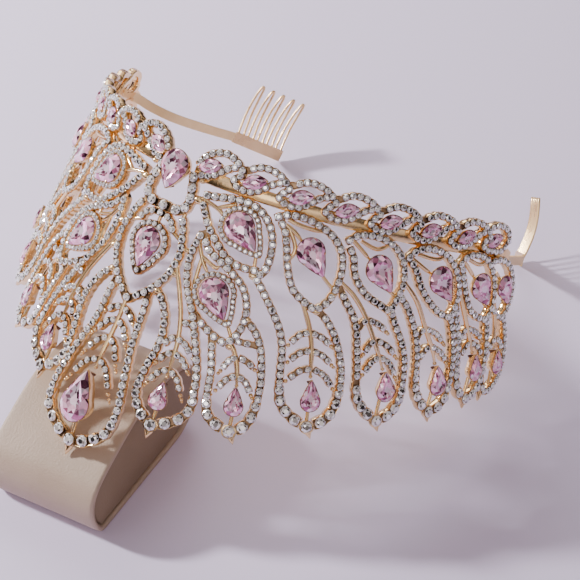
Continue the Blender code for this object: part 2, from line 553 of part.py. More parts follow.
def make_materials():
    """Plain Principled materials by name."""
    made = {}
    for name, (colour, metallic, roughness) in MATERIALS.items():
        material = bpy.data.materials.new(name)
        material.use_nodes = True
        shader = material.node_tree.nodes["Principled BSDF"]
        shader.inputs["Base Color"].default_value = (*colour, 1.0)
        shader.inputs["Metallic"].default_value = metallic
        shader.inputs["Roughness"].default_value = roughness
        made[name] = material
    return made


def loop_rows():
    """Centre and half length of each loop of the rope border."""
    for i in range(LOOPS):
        last = i == LOOPS - 1
        s = LOOP_FIRST + LOOP_PITCH * i
        yield (s - LOOP_LAST_BACK, LOOP_LAST_HALF) if last else (s, LOOP_HALF[0])


def marquise_rows():
    """Place of each marquise stone."""
    for i in range(LOOPS):
        yield MARQUISE_FIRST + LOOP_PITCH * i - (MARQUISE_LAST_BACK if i == LOOPS - 1 else 0.0), MARQUISE_H


def frame_layers():
    """Layers of the metal frame in the flat pattern, and the peaks of the marquise stones."""
    rails = []
    for _, width, points in RAILS:
        rails += strip(curve(points), width)
    for s, h, inward, inward_drop, outward, outward_drop in BARBS:
        for reach, drop in ((-inward, inward_drop), (outward, outward_drop)):
            middle = (s + reach * 0.55, h + drop * 0.3)
            rails += strip(((s, h), middle, (s + reach, h + drop)), BARB_WIDTH)
    for s, half in loop_rows():
        rails += strip(oval_ring((s, LOOP_H), (half, LOOP_HALF[1]), LOOP_TILT), LOOP_WIDTH, True)
    for s, h, half, length, degrees in NUBS:
        rails.append(placed(np.array([(-0.8, -half), (length * 0.5, -half * 0.55), (length, 0.0),
                                      (length * 0.5, half * 0.55), (-0.8, half)]), s, h, degrees))
    for width, points in STAYS:
        rails += strip(curve(points), width)
    for _, s, h, radius, point, degrees, girdle, halo in PEARS:
        if girdle < HIGH_GIRDLE:
            width = BEZEL_WALL + halo
            ring = placed(pear_outline(radius, point, STONE_GAP + width / 2), s, h, degrees)
            rails += strip(ring, width, True)
    for s, h in marquise_rows():
        rails.append(marquise_outline((s, h), np.add(MARQUISE_SIZE, MARQUISE_RIM), MARQUISE_TILT))
    for width, points in WIRES:
        rails += strip(curve(points), width)
    rails += strip(curve(BAND, 6.0), BAND_WIDTH)
    layers = [(union_outlines(mirrored(rails)), RAIL_FRONT, RAIL_BACK)]
    voids = []
    for side in (1.0, -1.0):
        for _, s, h, radius, point, degrees, girdle, _ in PEARS:
            if side > 0 or s > 0.0:
                flip = np.array([side, 1.0])
                inner, outer = (placed(pear_outline(radius, point, grow), s, h, degrees) * flip
                                for grow in (STONE_GAP, STONE_GAP + BEZEL_WALL))
                if girdle >= HIGH_GIRDLE:
                    layers.append(([outer], girdle - 0.1, RAIL_BACK))
                voids.append(inner)
    peaks = []
    for side in (1.0, -1.0):
        for centre in marquise_rows():
            for scale, level in ((1.0, RAIL_FRONT), (MARQUISE_TABLE, MARQUISE_FRONT)):
                size = np.multiply(MARQUISE_SIZE, scale)
                count = 2 if scale == 1.0 else 1
                outline = marquise_outline(centre, size, MARQUISE_TILT, count) * np.array([side, 1.0])
                peaks.append((outline, level))
    return layers, voids, peaks


def ribbon(points, height, thick):
    """Closed bar with a rectangular section, its height along the crown's own axis."""
    p = curve(points, 7.0)
    along = np.gradient(p, axis=0)
    along /= np.linalg.norm(along, axis=1)[:, None]
    side = np.cross(along, (0.0, 0.0, 1.0))
    side /= np.linalg.norm(side, axis=1)[:, None]
    up = np.cross(side, along)
    mesh = bmesh.new()
    rings = []
    for at, s, u in zip(p, side * thick / 2, up * height / 2):
        rings.append([mesh.verts.new(to_world(at + v)) for v in (s + u, s - u, -s - u, -s + u)])
    for a, b in zip(rings, rings[1:]):
        for i in range(4):
            j = (i + 1) % 4
            mesh.faces.new((a[i], a[j], b[j], b[i]))
    mesh.faces.new(rings[0][::-1])
    mesh.faces.new(rings[-1])
    return mesh


def mirror_x(points):
    """Points reflected across the crown's middle plane."""
    return [(-x, y, z) for x, y, z in points]


def comb_mesh(side):
    """Wire comb: a flat spine and hairpin teeth, bowed towards the head."""
    start, end = (np.array(v) for v in SPINE)
    length = float(np.linalg.norm(end - start))
    along = (end - start) / length
    tooth = np.array([-0.11, 0.09, 1.0])
    tooth -= along * float(tooth @ along)
    tooth /= np.linalg.norm(tooth)
    inward = np.cross(tooth, along)
    pitch = length / COMB_TEETH
    polygons = strip(np.array([(0.0, 0.0), (length / 2, 0.0), (length, 0.0)]), COMB_SPINE)
    for i in range(COMB_TEETH):
        u = pitch * (i + 0.5)
        top, leg = TOOTH_LENGTH, TOOTH_LEG
        legs = np.array(((-leg, 1.0), (-leg, top * 0.35), (-leg, top * 0.65), (-leg, top - 1.3), (0.0, top),
                         (leg, top - 1.3), (leg, top * 0.65), (leg, top * 0.35), (leg, 1.0)))
        legs[:, 0] += u + TOOTH_FAN * (i - (COMB_TEETH - 1) / 2) * legs[:, 1] / top
        polygons += strip(legs, COMB_WIRE)

    def place(v, level):
        bow = TOOTH_BOW * math.sin(math.pi * min(max(v[1] / TOOTH_LENGTH, 0.0), 1.0))
        at = start + along * v[0] + tooth * v[1] + inward * (level - bow)
        return to_world(at * np.array([side, 1.0, 1.0]))

    return stepped_relief([(union_outlines(polygons, 0.05), COMB_THICK / 2, -COMB_THICK / 2)], place)


def pear_mesh(row, side):
    """Cut pear stone: flat table, crown facets, and a pavilion to a short keel."""
    _, s, h, radius, point, degrees, girdle, _ = row
    origin = crown_point(s, h, girdle)
    e_s = crown_point(s + 0.5, h, girdle) - crown_point(s - 0.5, h, girdle)
    e_s /= np.linalg.norm(e_s)
    e_h = crown_point(s, h + 0.5, 0.0) - crown_point(s, h - 0.5, 0.0)
    e_h -= e_s * float(e_h @ e_s)
    e_h /= np.linalg.norm(e_h)
    out = np.cross(e_h, e_s)
    out = out if float(out @ np.array([*origin[:2] - np.array([0.0, HALF_LENGTH]), 0.0])) > 0 else -out
    ring = placed(pear_outline(radius, point), 0.0, 0.0, degrees)
    centre = placed(np.array([(point - radius) * 0.22, 0.0])[None], 0.0, 0.0, degrees)[0]
    table = centre + (ring - centre) * TABLE_SCALE
    rise, depth = radius * CROWN_RATIO, radius * PAVILION_RATIO
    mesh = bmesh.new()

    def vert(v, level):
        at = origin + e_s * v[0] + e_h * v[1] + out * level
        return mesh.verts.new(to_world(at * np.array([side, 1.0, 1.0])))

    girdle_ring = [vert(v, 0.0) for v in ring]
    table_ring = [vert(v, rise) for v in table]
    keel = vert(centre, -depth)
    mesh.faces.new(table_ring)
    for i in range(len(ring)):
        j = (i + 1) % len(ring)
        mesh.faces.new((girdle_ring[i], girdle_ring[j], table_ring[j], table_ring[i]))
        mesh.faces.new((girdle_ring[j], girdle_ring[i], keel))
    return mesh


def block_point(along, across, up):
    """Place on the block: along its section, across its width away from the near end, above the floor."""
    c, s = math.cos(BLOCK_YAW), math.sin(BLOCK_YAW)
    x = BLOCK_CORNER[0] - along * s - across * c
    y = BLOCK_CORNER[1] + along * c - across * s
    return np.array([x, y - ORIGIN_Y, up]) * MM


def inset(outline, distance):
    """Outline moved inwards by an even distance."""
    p = np.array(outline, dtype=float)
    ahead, behind = np.roll(p, -1, axis=0) - p, p - np.roll(p, 1, axis=0)
    ahead /= np.linalg.norm(ahead, axis=1)[:, None]
    behind /= np.linalg.norm(behind, axis=1)[:, None]
    n = np.stack([-(ahead + behind)[:, 1], (ahead + behind)[:, 0]], axis=1)
    n /= np.linalg.norm(n, axis=1)[:, None]
    reach = np.sum(n * np.stack([-ahead[:, 1], ahead[:, 0]], axis=1), axis=1)
    return p + n * (distance / reach)[:, None]


def prism_mesh(outlines, start, end):
    """Closed bar or tube through the block, from the near end to the far end."""
    mesh = bmesh.new()
    rings = [[[mesh.verts.new(block_point(a, across, up)) for a, up in outline] for across in (start, end)]
             for outline in outlines]
    for near, far in rings:
        for i in range(len(near)):
            j = (i + 1) % len(near)
            mesh.faces.new((near[i], near[j], far[j], far[i]))
    if len(rings) == 1:
        mesh.faces.new(rings[0][0])
        mesh.faces.new(rings[0][1][::-1])
    else:
        for outer, inner in zip(*rings):
            for i in range(len(outer)):
                j = (i + 1) % len(outer)
                mesh.faces.new((outer[i], outer[j], inner[j], inner[i]))
    return mesh


def join_solids(target, tools):
    """Fuses the tools into the target and removes them."""
    for tool in tools:
        fuse = target.modifiers.new("fuse", "BOOLEAN")
        fuse.operation = "UNION"
        fuse.solver = "EXACT"
        fuse.object = tool
        tool.hide_render = True
        tool.display_type = "WIRE"
    graph = bpy.context.evaluated_depsgraph_get()
    fused = bpy.data.meshes.new_from_object(target.evaluated_get(graph))
    target.modifiers.clear()
    target.data = fused
    for tool in tools:
        bpy.data.objects.remove(tool, do_unlink=True)


def main():
    """Builds every named piece."""
    for thing in list(bpy.data.objects):
        bpy.data.objects.remove(thing, do_unlink=True)
    materials = make_materials()
    gold = materials["pale_gold"]
    layers, voids, peaks = frame_layers()
    frame = make_object("crown_frame", stepped_relief(
        layers, lambda v, level: to_world(crown_point(v[0], v[1], level)), voids, peaks), gold)
    arms = [make_object("arm_tool", ribbon(points, ARM_HEIGHT, ARM_THICK), gold)
            for points in (ARM, mirror_x(ARM))]
    join_solids(frame, arms)
    for side, word in ((1.0, "right"), (-1.0, "left")):
        make_object(f"comb_{word}", comb_mesh(side), gold)
    for row in PEARS:
        if row[1] == 0.0:
            make_object(f"stone_{row[0]}", pear_mesh(row, 1.0), materials["rose_crystal"])
            continue
        for side, word in ((1.0, "right"), (-1.0, "left")):
            make_object(f"stone_{row[0]}_{word}", pear_mesh(row, side), materials["rose_crystal"])
    section = np.array(BLOCK_SECTION)
    wrap = (section, inset(section, WRAP_THICK))
    make_object("block_wrap", prism_mesh(wrap, 0.0, BLOCK_WIDTH), materials["beige_leather"], BLOCK_SMOOTH)
    core = inset(section, WRAP_THICK + CORE_GAP)
    core_mesh = prism_mesh((core,), WRAP_LIP, BLOCK_WIDTH - WRAP_LIP)
    make_object("block_core", core_mesh, materials["taupe_leather"], BLOCK_SMOOTH)


main()
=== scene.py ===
"""Dresses the princess crown: stone rows, cut stones, gold settings, wire combs and the leather block.

The crown is drawn as a flat pattern in millimetres, as its solids are: s runs along the band from its front
centre, h runs down the crown from the band towards the feather tips, level is the height off its surface.
The right half is listed and mirrored.
"""
import math
import random

import bpy
import numpy as np
from mathutils import Matrix


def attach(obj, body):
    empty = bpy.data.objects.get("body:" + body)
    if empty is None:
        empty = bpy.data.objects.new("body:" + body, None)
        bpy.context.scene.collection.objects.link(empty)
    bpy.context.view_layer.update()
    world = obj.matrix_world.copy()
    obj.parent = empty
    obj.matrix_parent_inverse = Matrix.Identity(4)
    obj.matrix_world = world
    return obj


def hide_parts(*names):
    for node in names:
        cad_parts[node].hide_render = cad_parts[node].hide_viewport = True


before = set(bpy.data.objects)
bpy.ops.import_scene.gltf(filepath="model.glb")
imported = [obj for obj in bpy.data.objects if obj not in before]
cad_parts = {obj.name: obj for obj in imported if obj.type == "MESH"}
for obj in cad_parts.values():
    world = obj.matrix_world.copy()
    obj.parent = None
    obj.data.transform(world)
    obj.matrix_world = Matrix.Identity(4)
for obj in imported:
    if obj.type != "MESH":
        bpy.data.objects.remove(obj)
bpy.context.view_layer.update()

MM = 0.001
# Oval plan of the band, flare of the crown below it, and its pose over the floor.
HALF_BREADTH = 77.0
HALF_LENGTH = 96.2
FLARE = math.radians(9.2)
PITCH = math.radians(32.5)
BAND_HEIGHT = 90.4
ORIGIN_Y = 26.97
# The centre feather stands proud of the crown between these heights.
PROUD = 1.8
PROUD_FROM, PROUD_FULL, PROUD_KEEP, PROUD_END = 46.0, 66.0, 78.0, 90.0
PROUD_REACH = 10.25
WIDER_FROM, WIDER_REACH = 68.0, 2.0
# Rope border and its pointed oval stones.
LOOPS = 8
LOOP_PITCH = 13.71
LOOP_FIRST = 12.7
LOOP_LAST_BACK = 2.8
MARQUISE_FIRST = 9.6
MARQUISE_H = -3.0
MARQUISE_SIZE = (6.8, 3.5)
MARQUISE_TILT = math.radians(-24.0)
MARQUISE_LAST_BACK = 1.4
# Combs.
COMB_TEETH = 5
TOOTH_LENGTH = 21.5
TOOTH_BOW = 1.5
TOOTH_FAN = 0.4
TOOTH_RADIUS = 0.45
TOOTH_LEAN = (-0.11, 0.09, 1.0)
# Block.
BLOCK_YAW = math.radians(7.6)
BLOCK_CORNER = (14.2, -62.1)
BLOCK_WIDTH = 38.0
# Rows of small stones: width of the rail, radius of a stone and pitch, and the rest of each row.
BARB_ROW = (1.9, 1.02, 2.04)
ROPE_ROW = (2.1, 1.08, 2.16)
CHANNEL_EXTRA = 0.3
GEM_LEVEL = 0.8
GRAIN_LEVEL = 0.6
GRAIN_RADIUS = 0.24
TIP_GROW = 0.3
TIP_GEM = 0.62
TIP_ROW = 0.86
HALO_CENTRE, HALO_SIDE = 0.86, 0.74
HALO_GAP = 0.38
ROPE_RISE = 0.5
# Clear distance that a small stone and a grain keep from others, as a share of both radii.
GEM_CLEARANCE = 0.62
GRAIN_CLEARANCE = 0.55
# Levels of the wires, of the stays and of the plain strip behind the rope border.
WIRE_LEVEL, STAY_LEVEL, BAND_LEVEL = 0.25, -0.4, -1.1
# Seeds of the facets' turns, of the small stones and of the grains.
FACET_SEED, GEM_SEED, GRAIN_SEED = 5, 3, 4

# (share of half the width, level) section of a rail; its channel for stones is painted dark as shade
RAIL_SECTION = ((-0.85, -1.7), (0.85, -1.7), (1.0, -1.3), (1.0, 0.4), (0.9, 0.62), (0.76, 0.52), (0.6, 0.05),
                (-0.6, 0.05), (-0.76, 0.52), (-0.9, 0.62), (-1.0, 0.4), (-1.0, -1.3))
RAIL_MARKS = [0, 0, 0, 0, 0, 1, 1, 1, 0, 0, 0, 0]
# (across, level) section of the plain strip
BAND_SECTION = ((-1.9, -0.3), (1.9, -0.3), (1.95, 0.1), (1.5, 0.34), (-1.5, 0.34), (-1.95, 0.1))
# (across, level) rim of a stone's cup, and the slots of the cup's walls; slot 1 is painted shade
CUP_RIM = [(0.32, -0.5), (0.12, 0.02), (-0.1, 0.04), (-0.16, -0.14)]
CUP_MARKS = [0, 1, 1, 1, 0, 0]
# (scale, level) layers of the raised forms
TIP_SEAT = ((0.8, 0.7), (0.98, 0.6), (1.0, 0.1), (0.85, -0.8))
NUB_LAYERS = ((0.2, 0.5), (0.6, 0.4), (0.92, 0.1), (1.0, -0.2), (0.85, -0.75))
KNOT_LAYERS = ((0.35, 1.1), (0.75, 0.95), (1.0, 0.4), (0.9, -0.7))
# (share of the reach, share of the drop) course of a barb, and with level and radius the grains at its end
BARB_COURSE = ((0.0, 0.0), (0.55, 0.3), (1.0, 1.0))
BARB_GRAINS = ((0.99, 0.98, 0.3, 0.72), (1.1, 1.14, 0.15, 0.6), (1.16, 1.24, 0.05, 0.45))
# Slots round a small stone and round a cut stone, tier by tier; the latter with the facets that share a slot
# and a shift. A small stone's slot 2 is painted dark reflection and slot 3 painted shade; a cut stone's slot
# 1 is painted highlight and slot 3 painted shade
CHATON_FACETS = ((0, 1, 2, 1), (1, 0, 2, 0), (0, 2, 0, 1), (0, 0, 1, 0), (3,), (3,))
STONE_FACETS = (((1, 0, 1, 3), 3, 0), ((1, 0, 0, 3), 3, 1), ((1, 0, 2, 0), 3, 2), ((3, 0, 1, 2), 2, 0),
                ((0, 1, 3, 2), 1, 0), ((2, 0, 3, 1), 1, 0), ((0, 3, 2, 3, 1), 1, 0), ((3, 0, 2), 1, 0),
                ((3,), 1, 0), ((3,), 1, 0), ((4,), 1, 0), ((4,), 1, 0), ((4,), 1, 0))
# Place on a 60-point outline of the five claws of a pear, and the size of each claw
PEAR_CLAWS = (0, 13, 24, 36, 47)
CLAW_SIZE = (0.26, 0.26, 0.34)
END_CLAW_SIZE = (0.36, 0.36, 0.4)
# (half gap, height) of a hairpin tooth from its foot to its bend
HAIRPIN = ((1.25, -0.9), (1.2, 4.0), (1.1, 10.0), (0.95, 16.0), (0.6, 20.2))
# (inset, distance from the block's face) of the rounded edge of the wrap, and of the board in it
WRAP_EDGE = [(1.75, 0.7), (1.5, 0.18), (0.95, 0.0), (0.4, 0.12), (0.06, 0.5), (0.0, 1.1)]
CORE_EDGE = [(2.8, 0.62), (2.35, 0.85), (2.05, 1.4)]

# width and (s, h) points of each rail, and where it ends in a feather's tip its width and points there
RAILS = (
    # Collar, centre petal and the arch in it.
    (3.0, ((5.3, 0.2), (6.4, 4.4), (7.2, 8.0), (6.2, 11.4), (3.0, 12.5), (-0.4, 12.2))),
    (2.3, ((6.8, 13.6), (8.0, 15.6), (9.2, 19.2), (10.0, 23.6), (9.6, 27.6), (8.4, 31.6), (5.7, 36.0),
     (2.7, 39.2), (-0.2, 42.0))),
    (1.9, ((-0.4, 14.8), (2.6, 15.1), (4.8, 16.6), (5.8, 18.8))),
    # Second to seventh petal and the end petal, two rails each.
    (2.3, ((10.4, 5.2), (13.8, 4.6), (19.4, 3.3), (24.6, 3.1), (29.2, 5.2), (32.4, 9.4), (33.7, 14.6),
     (33.5, 19.8), (31.6, 22.0))),
    (2.2, ((11.0, 7.0), (12.2, 9.2), (15.2, 13.2), (19.1, 16.9), (23.2, 20.0), (27.4, 20.8), (32.0, 20.4))),
    (2.2, ((13.9, 15.2), (13.2, 20.0), (13.1, 24.0), (14.2, 29.0), (16.2, 33.4), (18.6, 37.0), (22.2, 39.8),
     (25.8, 41.8), (29.6, 43.0))),
    (2.2, ((14.0, 14.6), (17.1, 19.0), (21.2, 21.2), (25.4, 23.3), (29.4, 26.3), (31.8, 31.0), (32.3, 35.6),
     (31.6, 39.4), (29.8, 42.8))),
    (2.2, ((31.6, 4.6), (34.6, 2.9), (38.6, 2.2), (43.4, 2.8), (48.8, 4.9), (52.4, 8.6), (53.9, 13.4),
     (53.7, 19.0), (52.4, 23.4), (49.6, 26.6))),
    (2.2, ((33.6, 4.8), (35.6, 7.4), (37.2, 11.4), (39.0, 16.6), (41.8, 22.0), (45.2, 24.6), (49.6, 26.6))),
    (2.2, ((53.0, 5.6), (56.2, 2.8), (61.0, 2.0), (66.4, 3.0), (70.6, 6.0), (72.8, 10.6), (73.1, 15.4),
     (71.4, 22.0))),
    (2.2, ((54.4, 6.6), (56.4, 9.6), (58.0, 14.0), (62.0, 18.4), (66.8, 20.6), (71.4, 22.2))),
    (2.2, ((72.4, 6.6), (75.6, 3.2), (80.4, 2.2), (86.0, 3.3), (90.4, 6.8), (93.2, 11.4), (93.8, 16.0),
     (92.6, 21.4))),
    (2.2, ((74.0, 6.6), (76.8, 9.6), (79.6, 13.8), (83.4, 17.4), (88.0, 20.4), (92.6, 21.4))),
    (2.2, ((91.6, 6.2), (94.2, 2.8), (98.6, 1.9), (103.0, 3.0), (106.8, 6.6), (109.2, 11.6), (109.9, 16.6),
     (108.4, 21.0))),
    (2.2, ((92.8, 5.6), (94.4, 9.0), (96.6, 13.4), (100.0, 18.4), (104.2, 20.6), (108.4, 21.2))),
    (2.2, ((105.4, 3.4), (109.4, 2.6), (113.4, 3.6), (116.8, 6.6), (118.6, 11.0), (118.6, 15.6),
     (116.6, 20.2))),
    (2.2, ((109.6, 13.4), (110.8, 17.4), (113.4, 20.0), (116.6, 20.4))),
    # Feathers: the rail on the side of the front centre, then that on the side of the band's end; links.
    (2.3, ((5.2, 36.6), (5.9, 41.0), (6.2, 47.0), (6.6, 52.0), (7.4, 57.0), (8.2, 61.5), (8.9, 66.0),
     (9.7, 71.0), (9.8, 75.6)), 3.2, ((9.8, 75.0), (8.8, 79.4), (6.2, 82.8), (3.2, 85.0), (-0.4, 86.2))),
    (2.3, ((8.4, 36.2), (10.4, 38.4), (12.3, 42.2), (13.2, 47.0), (12.9, 52.0), (12.1, 57.0), (11.7, 62.0)),
     3.0, ((11.6, 61.4), (12.1, 66.0), (14.4, 69.6), (18.2, 72.2))),
    (2.3, ((17.6, 35.6), (19.8, 40.0), (21.8, 44.8), (23.8, 50.0), (25.3, 55.2), (26.0, 60.6)),
     3.0, ((26.2, 60.0), (25.8, 65.2), (23.0, 69.2), (18.2, 72.2))),
    (1.9, ((17.0, 41.4), (19.4, 41.2), (21.2, 42.2))),
    (1.9, ((31.4, 41.2), (35.0, 41.0), (38.4, 40.6))),
    (2.2, ((25.4, 41.4), (26.8, 46.4), (28.2, 51.6), (28.9, 57.0), (29.3, 60.0)), 3.0, ((29.2, 59.4),
     (30.6, 63.6), (33.6, 65.8), (37.0, 66.6))),
    (2.2, ((31.8, 34.0), (36.0, 37.2), (38.6, 41.4), (40.1, 46.0), (41.2, 51.0), (41.7, 56.6)),
     3.0, ((41.7, 56.0), (41.3, 61.0), (39.8, 64.6), (37.0, 66.8))),
    (2.2, ((31.4, 22.0), (34.8, 25.6), (38.6, 30.0), (41.8, 34.4), (43.9, 39.4), (45.0, 45.0), (46.0, 50.4)),
     3.0, ((45.9, 49.8), (47.6, 54.8), (51.2, 58.0), (55.8, 59.8))),
    (2.2, ((50.2, 26.2), (53.6, 28.6), (57.0, 32.6), (59.6, 37.4), (61.4, 42.2), (62.3, 47.6)),
     3.0, ((62.3, 47.0), (62.0, 52.6), (60.2, 56.8), (56.0, 60.0))),
    (2.2, ((54.0, 17.8), (57.4, 22.0), (60.6, 25.6), (62.8, 30.0), (64.4, 35.6), (65.9, 41.2), (66.8, 46.0)),
     3.0, ((66.6, 45.2), (68.2, 49.4), (71.2, 52.4), (75.2, 54.6))),
    (2.2, ((71.4, 21.8), (74.2, 26.2), (77.2, 30.4), (79.4, 35.0), (80.6, 40.2), (81.0, 44.0)),
     3.0, ((81.0, 43.4), (80.8, 48.4), (78.8, 52.2), (75.2, 54.8))),
    (2.2, ((73.2, 17.2), (76.8, 20.6), (79.6, 24.6), (82.0, 29.0), (83.8, 34.4), (84.8, 39.8)),
     2.9, ((84.7, 39.2), (86.0, 44.2), (88.6, 47.8), (92.2, 50.4))),
    (2.2, ((92.4, 21.0), (95.0, 26.0), (96.8, 31.6), (97.8, 37.4), (97.9, 42.0)), 2.9, ((98.0, 41.4),
     (97.4, 45.8), (95.4, 48.8), (92.2, 50.6))),
    (2.2, ((93.6, 16.6), (95.6, 22.4), (97.8, 28.0), (99.2, 33.6), (100.0, 38.0)), 2.8, ((99.9, 37.4),
     (101.2, 41.6), (103.6, 44.6), (106.2, 46.0))),
    (2.2, ((108.4, 20.8), (110.2, 26.0), (111.4, 31.6), (111.7, 37.0)), 2.8, ((111.7, 36.4), (111.2, 40.8),
     (109.4, 44.2), (106.2, 46.2))),
    (2.2, ((111.4, 31.0), (111.6, 36.6), (112.2, 40.0), (113.9, 43.6))),
    (2.2, ((116.6, 20.0), (119.4, 25.0), (121.2, 31.0), (121.4, 36.6), (119.4, 41.2), (116.0, 44.0),
     (113.6, 43.4))),
)
# (s, h) points of the plain strip behind the rope border
BAND = ((4.6, 0.2), (30.0, 0.0), (60.0, 0.0), (90.0, 0.2), (110.0, 0.5), (115.0, 2.0))
# s, h, reach and drop towards the front centre, reach and drop towards the end: barbs springing from a shaft
BARBS = (
    (0.0, 44.2, 4.6, 3.4, 4.6, 3.4), (0.0, 48.2, 5.0, 5.8, 5.0, 5.8), (0.0, 53.8, 4.9, 6.8, 4.9, 6.8),
    (0.0, 60.6, 6.0, 8.4, 6.0, 8.4), (17.0, 46.0, 2.9, 4.0, 5.2, 3.6), (17.8, 50.4, 3.6, 4.4, 4.8, 3.8),
    (18.1, 55.4, 4.4, 6.0, 4.8, 6.0), (33.6, 45.4, 3.2, 5.4, 5.2, 2.2), (34.9, 50.6, 4.2, 6.0, 4.8, 4.4),
    (50.2, 33.0, 5.0, 5.2, 6.6, 2.6), (51.9, 38.0, 5.6, 5.0, 6.4, 2.9), (53.4, 43.0, 6.2, 5.4, 6.9, 4.6),
    (65.2, 25.8, 2.4, 4.0, 6.6, 2.6), (69.2, 31.2, 2.8, 4.8, 7.2, 3.8), (71.6, 35.8, 3.9, 6.2, 6.4, 5.4),
    (84.4, 25.6, 2.6, 4.0, 7.6, 3.6), (87.6, 30.6, 3.2, 5.0, 7.4, 4.6), (100.6, 24.2, 2.4, 4.4, 7.6, 3.4),
    (103.2, 28.4, 3.0, 5.0, 6.8, 4.6), (115.2, 27.0, 3.0, 4.6, 4.4, 4.0),
)
# width, (s, h) points: shafts of the feathers and sprigs beside the stones
WIRES = (
    (1.3, ((0.0, 40.6), (0.0, 63.4))),
    (1.3, ((9.6, 25.0), (11.2, 28.6), (13.6, 33.6), (16.2, 40.2), (17.7, 47.6), (18.1, 57.6))),
    (1.3, ((29.4, 41.4), (32.0, 43.8), (34.2, 48.4), (35.5, 53.4))),
    (1.3, ((45.8, 25.4), (49.2, 31.2), (51.6, 37.4), (53.4, 45.4))),
    (1.3, ((54.4, 16.8), (59.4, 20.0), (64.4, 25.2), (69.6, 32.8), (73.4, 39.2))),
    (1.3, ((73.6, 13.0), (79.2, 18.0), (84.2, 25.2), (88.8, 31.8), (90.8, 35.6))),
    (1.3, ((93.8, 12.6), (98.2, 20.0), (102.2, 26.6), (105.3, 31.6))),
    (1.3, ((110.2, 15.4), (113.2, 22.0), (115.2, 30.0))),
    (1.1, ((10.7, 6.4), (15.4, 7.4), (19.0, 9.2))), (1.1, ((15.4, 7.4), (20.2, 4.6))),
    (1.1, ((12.0, 7.4), (15.8, 13.4))),
    (1.1, ((14.0, 18.0), (16.4, 22.4), (19.4, 26.0))), (1.1, ((15.6, 21.4), (20.6, 23.4), (21.6, 22.0))),
    (1.1, ((16.2, 22.4), (16.6, 31.0))),
    (1.1, ((34.0, 5.0), (38.0, 6.6), (41.2, 9.0))), (1.1, ((35.4, 4.0), (40.6, 4.6), (46.0, 4.6))),
    (1.1, ((36.4, 6.0), (39.6, 11.0), (39.0, 15.4))),
    (1.1, ((54.4, 4.2), (58.0, 6.6), (61.2, 8.8))), (1.1, ((57.2, 4.2), (62.4, 5.4), (66.4, 3.4))),
    (1.1, ((73.8, 5.6), (78.4, 7.8), (82.2, 9.4))), (1.1, ((76.0, 4.4), (82.4, 4.9), (86.0, 3.6))),
    (1.1, ((93.2, 4.0), (96.6, 6.8), (99.2, 9.0))), (1.1, ((94.8, 3.4), (99.8, 4.6), (103.4, 3.4))),
    (1.1, ((108.6, 6.6), (111.0, 8.6))),
)
# name, s, h, radius of the round end, its distance to the point, direction of the point in degrees
# (90 towards the feather tips), girdle level, halo width of the solids
PEARS = (
    ("top_drop", 0.0, 0.4, 4.4, 7.0, 90.0, 3.0, 0.0),
    ("centre_pear", 0.0, 23.7, 4.1, 7.9, 90.0, 1.5, 1.2),
    ("petal_two", 23.4, 10.2, 4.2, 8.0, 39.0, 1.5, 1.1),
    ("petal_three", 22.6, 30.2, 4.15, 8.1, 51.0, 1.5, 1.1),
    ("petal_four", 43.9, 10.8, 3.95, 7.9, 47.0, 1.5, 0.0),
    ("petal_five", 64.2, 10.8, 4.0, 7.9, 46.0, 1.5, 0.0),
    ("petal_six", 85.2, 10.6, 4.0, 7.8, 45.0, 1.5, 0.0),
    ("petal_seven", 101.8, 11.0, 3.9, 7.2, 48.0, 1.5, 0.0),
    ("petal_end", 113.0, 10.6, 3.3, 6.2, 58.0, 1.5, 0.0),
    ("feather_centre", 0.0, 75.2, 4.9, 10.6, -90.0, 3.6, 0.0),
    ("feather_one", 18.2, 64.6, 2.65, 5.6, -90.0, 2.2, 0.0),
    ("feather_two", 36.2, 59.2, 2.6, 5.5, -99.0, 2.2, 0.0),
    ("feather_three", 54.6, 52.2, 2.8, 6.1, -101.0, 2.2, 0.0),
    ("feather_four", 75.1, 45.3, 2.9, 5.7, -106.0, 2.2, 0.0),
    ("feather_five", 92.4, 41.8, 3.0, 6.0, -108.0, 2.2, 0.0),
    ("feather_six", 106.6, 37.2, 2.7, 5.5, -107.0, 2.2, 0.0),
    ("feather_end", 116.6, 35.4, 2.5, 5.2, -106.0, 2.2, 0.0),
)
# s, h, half width, length and direction in degrees of the pointed nub at each feather tip
NUBS = (
    (0.0, 86.4, 1.7, 4.0, 90.0), (18.2, 72.6, 1.5, 3.4, 92.0), (37.2, 66.8, 1.5, 3.2, 62.0),
    (56.0, 60.0, 1.5, 3.2, 58.0), (75.2, 54.8, 1.5, 3.0, 62.0), (92.2, 50.6, 1.4, 2.8, 70.0),
    (106.2, 46.2, 1.3, 2.6, 84.0), (113.9, 43.6, 1.3, 3.0, 100.0),
)
